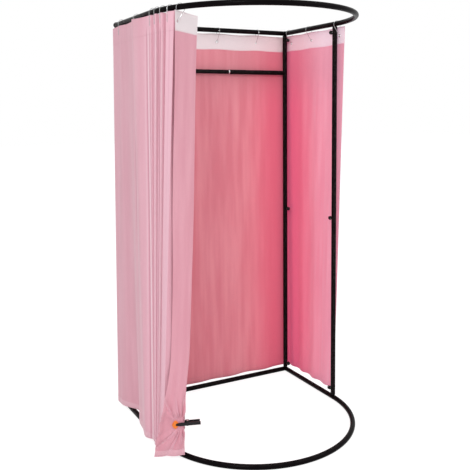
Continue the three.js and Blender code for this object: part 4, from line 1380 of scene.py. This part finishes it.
def pleats_at(u, z):
    """Fine pleats of the gathered folds, which wander with the height and come and go."""
    wander = 0.9 * np.sin(z * 1.9 + u * 3) + 0.5 * np.sin(z * 4.3)
    wave = np.sin(2 * math.pi * u / PLEAT + wander) * np.sin(u * 31 + 0.6 * z)
    return wave * smooth((u - GATHERED_FROM) / PLEAT_ONSET) * freedom(u, z)


def panel_at(u, line, z):
    """A crease in the left wall where it stands out and a paler panel in front of it, painted as
    shade and as light in the cloth's colour only.
    """
    place = np.array([-WALL_REACH, BULGE_START])
    ahead = u - u[np.argmin(np.linalg.norm(line - place, axis=1))]
    full, end, fall = WALL_PANEL_EDGES
    panel = smooth(ahead / full) * (1 - fade(ahead, fall, end))
    marks = WALL_CREASE * peak(ahead, WALL_CREASE_BREADTH) + WALL_PANEL * panel
    return marks * fade(z, *WALL_CREASE_SPAN)


# How far each kind of cloth stands out of its line, and its mark, at distances u along it. The
# line is the cloth's own at half height.

def plain_swell(u, z, line):
    return flutter(u, z), np.zeros(len(u))


def gathered_swell(u, z, line):
    """Fine pleats in the folds, and the crease in the left wall."""
    pleats = pleats_at(u, z)
    return flutter(u, z) + PLEAT_DEPTH * pleats, pleats + panel_at(u, line, z)


def flap_swell(u, z, line):
    """Creases round the clamp, and the light on the bend."""
    bend = u[FLAP_BEND_COLUMN]
    creases = crease_at(u, bend, z)
    loose = 1 - pinch_at(z)
    push = flutter(u, z) * loose * SWELL_FLAP_SHARE
    push = push + np.sign(u - bend) * CREASE_DEPTH * creases
    return push, np.maximum(creases, FOLD_SHINE * peak(u - bend, FOLD_SHINE_BREADTH) * loose)


def cloth_mesh(name, line_at, hem_waves, rings, swell, rise_at=None):
    """A closed sheet of two layers, with a map in metres and a mark on the room side."""
    creased = swell is flap_swell
    levels = cloth_levels(creased)
    middle = line_at(HEIGHT / 2)
    steps = np.linalg.norm(np.diff(middle, axis=0), axis=1)
    u = np.concatenate([[0.0], np.cumsum(steps)])
    lift = HEM_RISE * (1 + np.sin(u / u[-1] * hem_waves * 2 * math.pi)) / 2
    if rise_at is not None:
        lift = lift + rise_at(line_at(HEM_HEIGHT))
    sag = sag_at(u, line_at(CLOTH_TOP), rings)
    outer = []
    inner = []
    ridges = []
    for level in levels:
        plan = line_at(level)
        ahead = np.gradient(plan, axis=0)
        out = np.stack([ahead[:, 1], -ahead[:, 0]], axis=-1)
        out /= np.linalg.norm(out, axis=1)[:, None]
        push, ridge = swell(u, level, middle)
        ridges.append(ridge)
        plan = plan + out * push[:, None]
        hemmed = level <= HEM_SEAM or level >= BAND_SEAM
        edge = level in (levels[0], levels[-1])
        thick = (HEM_CLOTH if hemmed else CLOTH) * (EDGE_THIN if edge else 1.0)
        near_hem = float(np.clip(1 - (level - HEM_HEIGHT) / HEM_RISE_REACH, 0, 1))
        z = level + lift * near_hem - sag * fade(level, SAG_START, CLOTH_TOP)
        outer.append(np.column_stack([plan + out * thick / 2, z]))
        inner.append(np.column_stack([plan - out * thick / 2, z]))
    room_side = FLAP_ROOM_SIDE if creased else WALL_ROOM_SIDE
    mesh = sheet_of(name, outer, inner, u, levels, room_side)
    mark = mesh.attributes.new("ridge", "FLOAT", "POINT")
    mark.data.foreach_set("value", np.concatenate(ridges + ridges))
    return mesh


def sheet_of(name, outer, inner, u, levels, room_side):
    """The mesh of a sheet from the rows of its two layers, closed along all its edges."""
    rows = len(levels)
    columns = len(u)
    points = np.concatenate(outer + inner)
    total = rows * columns
    faces = []
    lining = []

    def quad(a, b, c, d, inside):
        faces.append((a, b, c, d))
        lining.append(inside)

    for j in range(rows - 1):
        for i in range(columns - 1):
            a = j * columns + i
            quad(a, a + 1, a + columns + 1, a + columns, OUTSIDE)
            b = total + a
            quad(b, b + columns, b + columns + 1, b + 1, room_side)
        left = j * columns
        right = left + columns - 1
        quad(left, left + columns, total + left + columns, total + left, EDGE)
        quad(right, total + right, total + right + columns, right + columns, EDGE)
    last = (rows - 1) * columns
    for i in range(columns - 1):
        quad(i, total + i, total + i + 1, i + 1, EDGE)
        quad(last + i, last + i + 1, total + last + i + 1, total + last + i, EDGE)
    mesh = bpy.data.meshes.new(name)
    mesh.from_pydata(points.tolist(), [], faces)
    mesh.materials.append(PINK)
    mesh.attributes.new("lining", "FLOAT", "FACE").data.foreach_set("value", lining)
    corner = np.empty(len(mesh.loops), dtype=np.int32)
    mesh.loops.foreach_get("vertex_index", corner)
    corner %= total
    cloth_map = np.column_stack([u[corner % columns], np.array(levels)[corner // columns]])
    layer = mesh.uv_layers.new(name="cloth_map")
    layer.data.foreach_set("uv", cloth_map.astype(np.float32).ravel())
    return mesh


# Rings. Each has its node, the point of the bar above it, the direction outwards, how far out its
# cloth hangs, the direction through the cloth, and its body.

Ring = namedtuple("Ring", "node bar away reach through body")


def wall_ring(node, x, y, away):
    return Ring(node, Vector((x, y)), away, CLOTH_HANG, away, "frame")


def front_ring(node, degrees, body):
    bar = on_ring(degrees, HALF_WIDTH)
    away = (bar - Vector((0, -SIDE_DEPTH))).normalized()
    return Ring(node, bar, away, CLOTH_HANG, away, body)


def ring_list():
    """All rings along the curtain, from the front edge of the right wall to the free edge."""
    right = Vector((1, 0))
    back = Vector((0, 1))
    left = Vector((-1, 0))
    past_post = 180 - math.degrees(RING_POST_GAP / HALF_WIDTH)
    rings = [
        front_ring("ring_right_1", past_post, "frame"),
        wall_ring("ring_right_2", HALF_WIDTH, -SIDE_DEPTH * RIGHT_RING_SHARE, right),
        wall_ring("ring_right_3", HALF_WIDTH, -RING_KNOB_GAP, right),
    ]
    for i, share in enumerate(REAR_RING_SHARES, 1):
        rings.append(wall_ring(f"ring_rear_{i}", HALF_WIDTH * share, 0, back))
    for i, share in enumerate(LEFT_RING_SHARES, 1):
        rings.append(wall_ring(f"ring_left_{i}", -HALF_WIDTH, -SIDE_DEPTH * share, left))
    for i, degrees in enumerate(GATHERED_RINGS, 1):
        rings.append(front_ring(f"ring_front_{i}", degrees, f"gather_{i}"))
    rings.append(last_ring())
    return rings


def last_ring():
    """The ring by the free edge, turned on the bar because that cloth hangs across it."""
    z = TOP_AXIS - RING_DROP
    _, bend, edge, along, across = lead_frame(z)
    share = 1 - LEAD_EYELET_INSET / np.linalg.norm(bend - edge)
    eyelet = lead_layer(bend, along, across, edge, 1, np.array([share]), z)[0]
    from_centre = Vector(eyelet) + Vector((0, SIDE_DEPTH))
    turn = Matrix.Rotation(-math.radians(LEAD_RING_SWIVEL), 2)
    away = turn @ from_centre.normalized()
    middle = from_centre.dot(away)
    hang = middle - math.sqrt(middle ** 2 - from_centre.length_squared + HALF_WIDTH ** 2)
    bar = Vector(eyelet) - away * hang
    node = f"ring_front_{len(GATHERED_RINGS) + 1}"
    return Ring(node, bar, away, hang, Vector(across), "curtain_leader")


def pear_path(hang):
    """The wire of a ring in its own plane: through the cloth, up and over the bar, and back."""
    shift = hang + RING_TURN - RING_RADIUS
    rest = RING_RADIUS - TUBE_RADIUS - WIRE_RADIUS - RING_PLAY
    sag = -math.sqrt(rest ** 2 - shift ** 2)
    low = -RING_DROP + RING_TURN
    run = hang - RING_TURN - shift
    fall = math.hypot(run, low - sag)
    leave = math.atan2(low - sag, run) - math.acos(RING_RADIUS / fall) + 2 * math.pi

    def arc(x, z, radius, start, end, steps):
        angles = [start + (end - start) * step / steps for step in range(steps + 1)]
        return [Vector((x + radius * math.cos(angle), 0, z + radius * math.sin(angle)))
                for angle in angles]

    points = arc(hang, low, RING_TURN, math.pi, 2 * math.pi, 12)
    points += arc(shift, sag, RING_RADIUS, 0, leave, 36)
    points.append(points[-1].lerp(points[0], 1 - RING_GAP / fall))
    return points


def wire_mesh(hang):
    """The bent wire of a ring, with its ends rounded off."""
    points = pear_path(hang)
    tip = (points[0] - points[-1]).normalized() * RING_TIP
    points = [points[0] - tip / 2, *points[:-1], points[-1] - tip, points[-1]]
    girth = [RING_TIP_SHARE, *[1.0] * (len(points) - 2), RING_TIP_SHARE]
    return bar_mesh(points, WIRE_RADIUS, BRIGHT, 10, girth)


def grommet_mesh():
    """An eyelet's rolled metal ring, flattened on the cloth, round +X."""
    points = [(0, GROMMET_RADIUS * out, GROMMET_RADIUS * up) for out, up in circle_points(32)]
    ring = bar_mesh(points, GROMMET_WIRE, BRIGHT, 12, closed=True)
    ring.transform(Matrix.Diagonal((GROMMET_FLATNESS, 1, 1, 1)))
    return ring


def place_copies(pattern, places, name):
    """Copies of a mesh at (point, turn) places, as one mesh."""
    mesh = bpy.data.meshes.new("places")
    mesh.from_pydata([tuple(point) for point, _ in places], [], [])
    turns = mesh.attributes.new("turn", "FLOAT", "POINT")
    turns.data.foreach_set("value", [turn for _, turn in places])
    holder = bpy.data.objects.new("pattern", pattern)
    bpy.context.scene.collection.objects.link(holder)
    made = grown(name, mesh, PLACES_TREE, {"Copied": holder, "Material": BRIGHT})
    bpy.data.objects.remove(holder)
    return made


def turn_of(direction):
    return math.atan2(direction.y, direction.x)


def eye_of(ring):
    """Where a ring goes through the cloth."""
    eye = ring.bar + ring.away * ring.reach
    return Vector((eye.x, eye.y, TOP_AXIS - RING_DROP))


def add_rings(rings):
    """The rings of the fixed walls in one piece, and each sliding ring with its own body."""
    grommet = grommet_mesh()
    groups = {}
    for ring in rings:
        groups.setdefault(ring.body, []).append(ring)
    for body, members in groups.items():
        places = [((*ring.bar, TOP_AXIS), turn_of(ring.away)) for ring in members]
        holes = [(eye_of(ring), turn_of(ring.through)) for ring in members]
        label = "walls" if body == "frame" else body
        wire = place_copies(wire_mesh(members[0].reach), places, "wires")
        nodes = [ring.node for ring in members]
        add_piece(f"wire_rings_{label}", wire, body, "bright_wire", *nodes)
        rims = place_copies(grommet.copy(), holes, "eyelets")
        add_piece(f"eyelets_{label}", rims, body, "bright_wire")


def cut_eyelets(piece, rings):
    """Cuts a round hole for each ring, except in folds that are pulled out when it is drawn."""
    cutter = bmesh.new()
    for ring in rings:
        if ring.body.startswith("gather"):
            continue
        lying = Matrix.Rotation(math.pi / 2, 4, "Y")
        turn = Matrix.Rotation(turn_of(ring.through), 4, "Z") @ lying
        bmesh.ops.create_cone(
            cutter, cap_ends=True, segments=24, radius1=EYELET_RADIUS, radius2=EYELET_RADIUS,
            depth=EYELET_CUT, matrix=Matrix.Translation(eye_of(ring)) @ turn,
        )
    mesh = bpy.data.meshes.new("holes")
    cutter.to_mesh(mesh)
    cutter.free()
    tool = bpy.data.objects.new("holes", mesh)
    bpy.context.scene.collection.objects.link(tool)
    cut = piece.modifiers.new("eyelets", "BOOLEAN")
    cut.operation = "DIFFERENCE"
    cut.object = tool
    bpy.context.view_layer.update()
    evaluated = piece.evaluated_get(bpy.context.evaluated_depsgraph_get())
    made = bpy.data.meshes.new_from_object(evaluated)
    piece.modifiers.clear()
    piece.data = made
    made.name = piece.name
    bpy.data.objects.remove(tool)


def add_curtain(name, line_at, hem_waves, rings, nodes, swell, rise_at=None):
    """A sheet with its eyelets, from its lines and how often its hem rises and falls."""
    mesh = cloth_mesh(name, line_at, hem_waves, rings, swell, rise_at)
    piece = add_piece(name, mesh, None, "curtain_cloth", smooth_angle=60)
    cut_eyelets(piece, rings)
    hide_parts(*nodes)
    return piece


def tucked_rise(line):
    """How far the hem lifts where the left wall swings in over the base bar."""
    left = (line[:, 0] < 0) & (line[:, 1] > -SIDE_DEPTH)
    return np.where(left, tuck_at(line[:, 1], HEM_HEIGHT) * TUCK_RISE_SHARE, 0.0)


def add_curtains(rings):
    """The right wall, the sheet from the rear wall to the gathered folds, and the leading fold."""
    right = add_curtain(
        "curtain_right_wall", right_wall, 4, rings[:3], ["curtain_right"], plain_swell)
    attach(right, "frame")
    main_nodes = ["curtain_rear", "curtain_left", *[f"curtain_fold_{i}" for i in range(1, 5)]]
    main = add_curtain(
        "curtain_main", main_line, 9, rings[3:-1], main_nodes, gathered_swell, tucked_rise)
    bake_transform(main)
    flap = add_curtain(
        "curtain_leading_flap", lead_line, 1, rings[-1:], ["curtain_leading_fold"], flap_swell)
    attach(flap, "curtain_leader")


# Clamp

def clamp_frame():
    """Places things laid out along the clamp: x to the handles, y to the room side, z up."""
    _, bend, _, along, _ = lead_frame(CLAMP_HEIGHT)
    pads = bend + along * (BEND_TO_PIVOT - PAD_TO_PIVOT)
    turn = Matrix.Rotation(math.atan2(along[1], along[0]), 4, "Z")
    return Matrix.Translation((pads[0], pads[1], CLAMP_HEIGHT)) @ turn


def softened(node, width):
    """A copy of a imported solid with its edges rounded."""
    shape = bmesh.new()
    shape.from_mesh(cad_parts[node].data)
    bmesh.ops.remove_doubles(shape, verts=shape.verts, dist=1e-6)
    flat = math.radians(2)
    bmesh.ops.dissolve_limit(shape, angle_limit=flat, verts=shape.verts, edges=shape.edges)
    bend = math.radians(28)
    sharp = [edge for edge in shape.edges if edge.is_manifold and edge.calc_face_angle(0) > bend]
    bmesh.ops.bevel(
        shape, geom=sharp, offset=width, segments=2, profile=0.6, affect="EDGES",
        clamp_overlap=True,
    )
    mesh = bpy.data.meshes.new(node)
    shape.to_mesh(mesh)
    shape.free()
    return mesh


def narrow_nose(arm, place):
    """Draws the nose of an arm back along its pad and makes it less high."""
    for point in arm.vertices:
        local = place.inverted() @ point.co
        share = float(smooth((local.x - NOSE_START) / NOSE_LENGTH))
        local.x += NOSE_SETBACK * (1 - share)
        local.z *= between(NOSE_HEIGHT_SHARE, 1, share)
        point.co = place @ local


def lozenge_plate(place, side):
    """A pad: a lozenge with rounded sides, crowned on the back, with a fine rim."""
    face = side * (LEAD_PINCH_GAP / 2 + CLOTH / 2 + SEAM)
    points = []
    for share, away in PAD_PROFILE:
        for across, up in circle_points(PAD_STEPS) if share else [(1, 0)]:
            size = (abs(across) ** PAD_ROUNDING + abs(up) ** PAD_ROUNDING) ** (-1 / PAD_ROUNDING)
            x = share * size * across * PAD_LENGTH / 2
            z = share * size * up * PAD_HEIGHT / 2
            points.append(place @ Vector((x, face + side * away, z)))
    faces = []
    last = len(points) - 1
    for step in range(PAD_STEPS):
        after = (step + 1) % PAD_STEPS
        faces.append((0, 1 + step, 1 + after))
        for row in range(len(PAD_PROFILE) - 3):
            low = 1 + PAD_STEPS * row
            high = low + PAD_STEPS
            faces.append((low + step, high + step, high + after, low + after))
        faces.append((last, last - PAD_STEPS + after, last - PAD_STEPS + step))
    mesh = bpy.data.meshes.new("pad")
    mesh.from_pydata(points, [], faces if side < 0 else [face[::-1] for face in faces])
    mesh.materials.append(ORANGE)
    return mesh


def grip_ribs(place, side):
    """Raised ribs across the handle of an arm, for the fingers."""
    half = ARM_HEIGHT / 2 - RIB_INSET
    made = []
    for step in range(RIBS):
        share = RIB_START + RIB_SPACING * step
        x = PAD_TO_PIVOT + PIVOT_TO_END * share
        y = side * (between(ARM_SPREAD, HANDLE_SPREAD, share) + RIB_LIFT)
        points = [place @ Vector((x, y, half * (2 * part - 1))) for part, _ in RIB_PROFILE]
        made.append(bar_mesh(points, RIB_RADIUS, CLAMP, 10, [size for _, size in RIB_PROFILE]))
    return made


def painted(mesh, material):
    mesh.materials.clear()
    mesh.materials.append(material)
    return mesh


def spring_mesh(place):
    """The torsion spring round the pivot, with a leg to each side."""
    steps = SPRING_TURNS * SPRING_STEPS
    coil = []
    for step in range(steps + 1):
        angle = 2 * math.pi * step / SPRING_STEPS
        x = PAD_TO_PIVOT + SPRING_RADIUS * math.sin(angle)
        height = SPRING_SPAN * (step / steps - 0.5)
        coil.append(Vector((x, SPRING_RADIUS * math.cos(angle), height)))
    leg = Vector((SPRING_LEG, 0, 0))
    points = [coil[0] + leg, *coil, coil[-1] + leg]
    return bar_mesh([place @ point for point in points], SPRING_WIRE, BRIGHT, 10)


def add_clamp():
    place = clamp_frame()
    for name, side, body in (("outer", 1, "curtain_leader"), ("inner", -1, "clamp_jaw")):
        arm = painted(softened(f"clamp_arm_{name}", 0.0008), CLAMP)
        narrow_nose(arm, place)
        whole = joined([arm, *grip_ribs(place, side)], "arm")
        add_piece(f"clamp_lever_{name}", whole, body, "black_plastic", f"clamp_arm_{name}")
        pad = lozenge_plate(place, side)
        add_piece(f"clamp_jaw_pad_{name}", pad, body, "orange_pad", f"clamp_pad_{name}")
    pin = painted(softened("clamp_pin", 0.0004), BRIGHT)
    add_piece("clamp_rivet", pin, "curtain_leader", "bright_wire", "clamp_pin")
    spring = spring_mesh(place)
    add_piece("clamp_coil_spring", spring, "curtain_leader", "bright_wire", "clamp_spring")


# Floor, light and camera

def add_floor():
    mesh = bpy.data.meshes.new("floor")
    signs = ((-1, -1), (1, -1), (1, 1), (-1, 1))
    corners = [(x * FLOOR_REACH, y * FLOOR_REACH, 0) for x, y in signs]
    mesh.from_pydata(corners, [], [(0, 1, 2, 3)])
    mesh.materials.append(white_floor())
    floor = bpy.data.objects.new("floor", mesh)
    floor.location.z = -FLOOR_DROP
    bpy.context.scene.collection.objects.link(floor)


def add_world():
    world = bpy.data.worlds.new("studio")
    bpy.context.scene.world = world
    world.use_nodes = True
    tree = world.node_tree
    tree.nodes.clear()
    output = tree.nodes.new("ShaderNodeOutputWorld")
    seen = white_outside(tree)
    light = put(tree, "ShaderNodeBackground", {"Color": (0.98, 0.99, 1.0, 1), "Strength": 0.78})
    white = put(tree, "ShaderNodeBackground", {"Color": WHITE, "Strength": 1.0})
    chosen = put(tree, "ShaderNodeMixShader", {0: seen, 1: light.outputs[0], 2: white.outputs[0]})
    tree.links.new(chosen.outputs[0], output.inputs[0])


def add_lamp(name, place, target, size, power):
    lamp = bpy.data.lights.new(name, "AREA")
    lamp.shape = "SQUARE"
    lamp.size = size
    lamp.energy = power
    holder = bpy.data.objects.new(name, lamp)
    holder.location = place
    holder.rotation_euler = (Vector(target) - Vector(place)).to_track_quat("-Z", "Y").to_euler()
    bpy.context.scene.collection.objects.link(holder)


def add_camera():
    lens = bpy.data.cameras.new("photo_view")
    lens.lens = 52.75
    lens.sensor_width = 36
    lens.shift_x = 0.0113
    lens.shift_y = -0.114
    camera = bpy.data.objects.new("photo_view", lens)
    camera.location = (-1.651, -3.3875, 1.547)
    camera.rotation_euler = [math.radians(angle) for angle in (84.22, 0.57, -27.85)]
    bpy.context.scene.collection.objects.link(camera)
    bpy.context.scene.camera = camera


add_camera()
add_floor()
add_world()
add_lamp("key", (-3.0, -3.8, 3.4), (0, -0.4, 1.0), 1.4, 70)
add_lamp("fill", (2.4, -3.6, 2.6), (0, -0.2, 0.9), 3.0, 36)
add_lamp("overhead", (0.3, -0.9, 4.6), (0, -0.2, 1.0), 1.6, 16)
bpy.context.scene.view_settings.view_transform = "Standard"

for ring_level, ring_axis in (("base", BASE_AXIS), ("top", TOP_AXIS)):
    add_ring_bars(ring_level, ring_axis)
add_posts()
add_thumb_screws()
add_hanging_rail()
all_rings = ring_list()
add_rings(all_rings)
add_curtains(all_rings)
add_clamp()
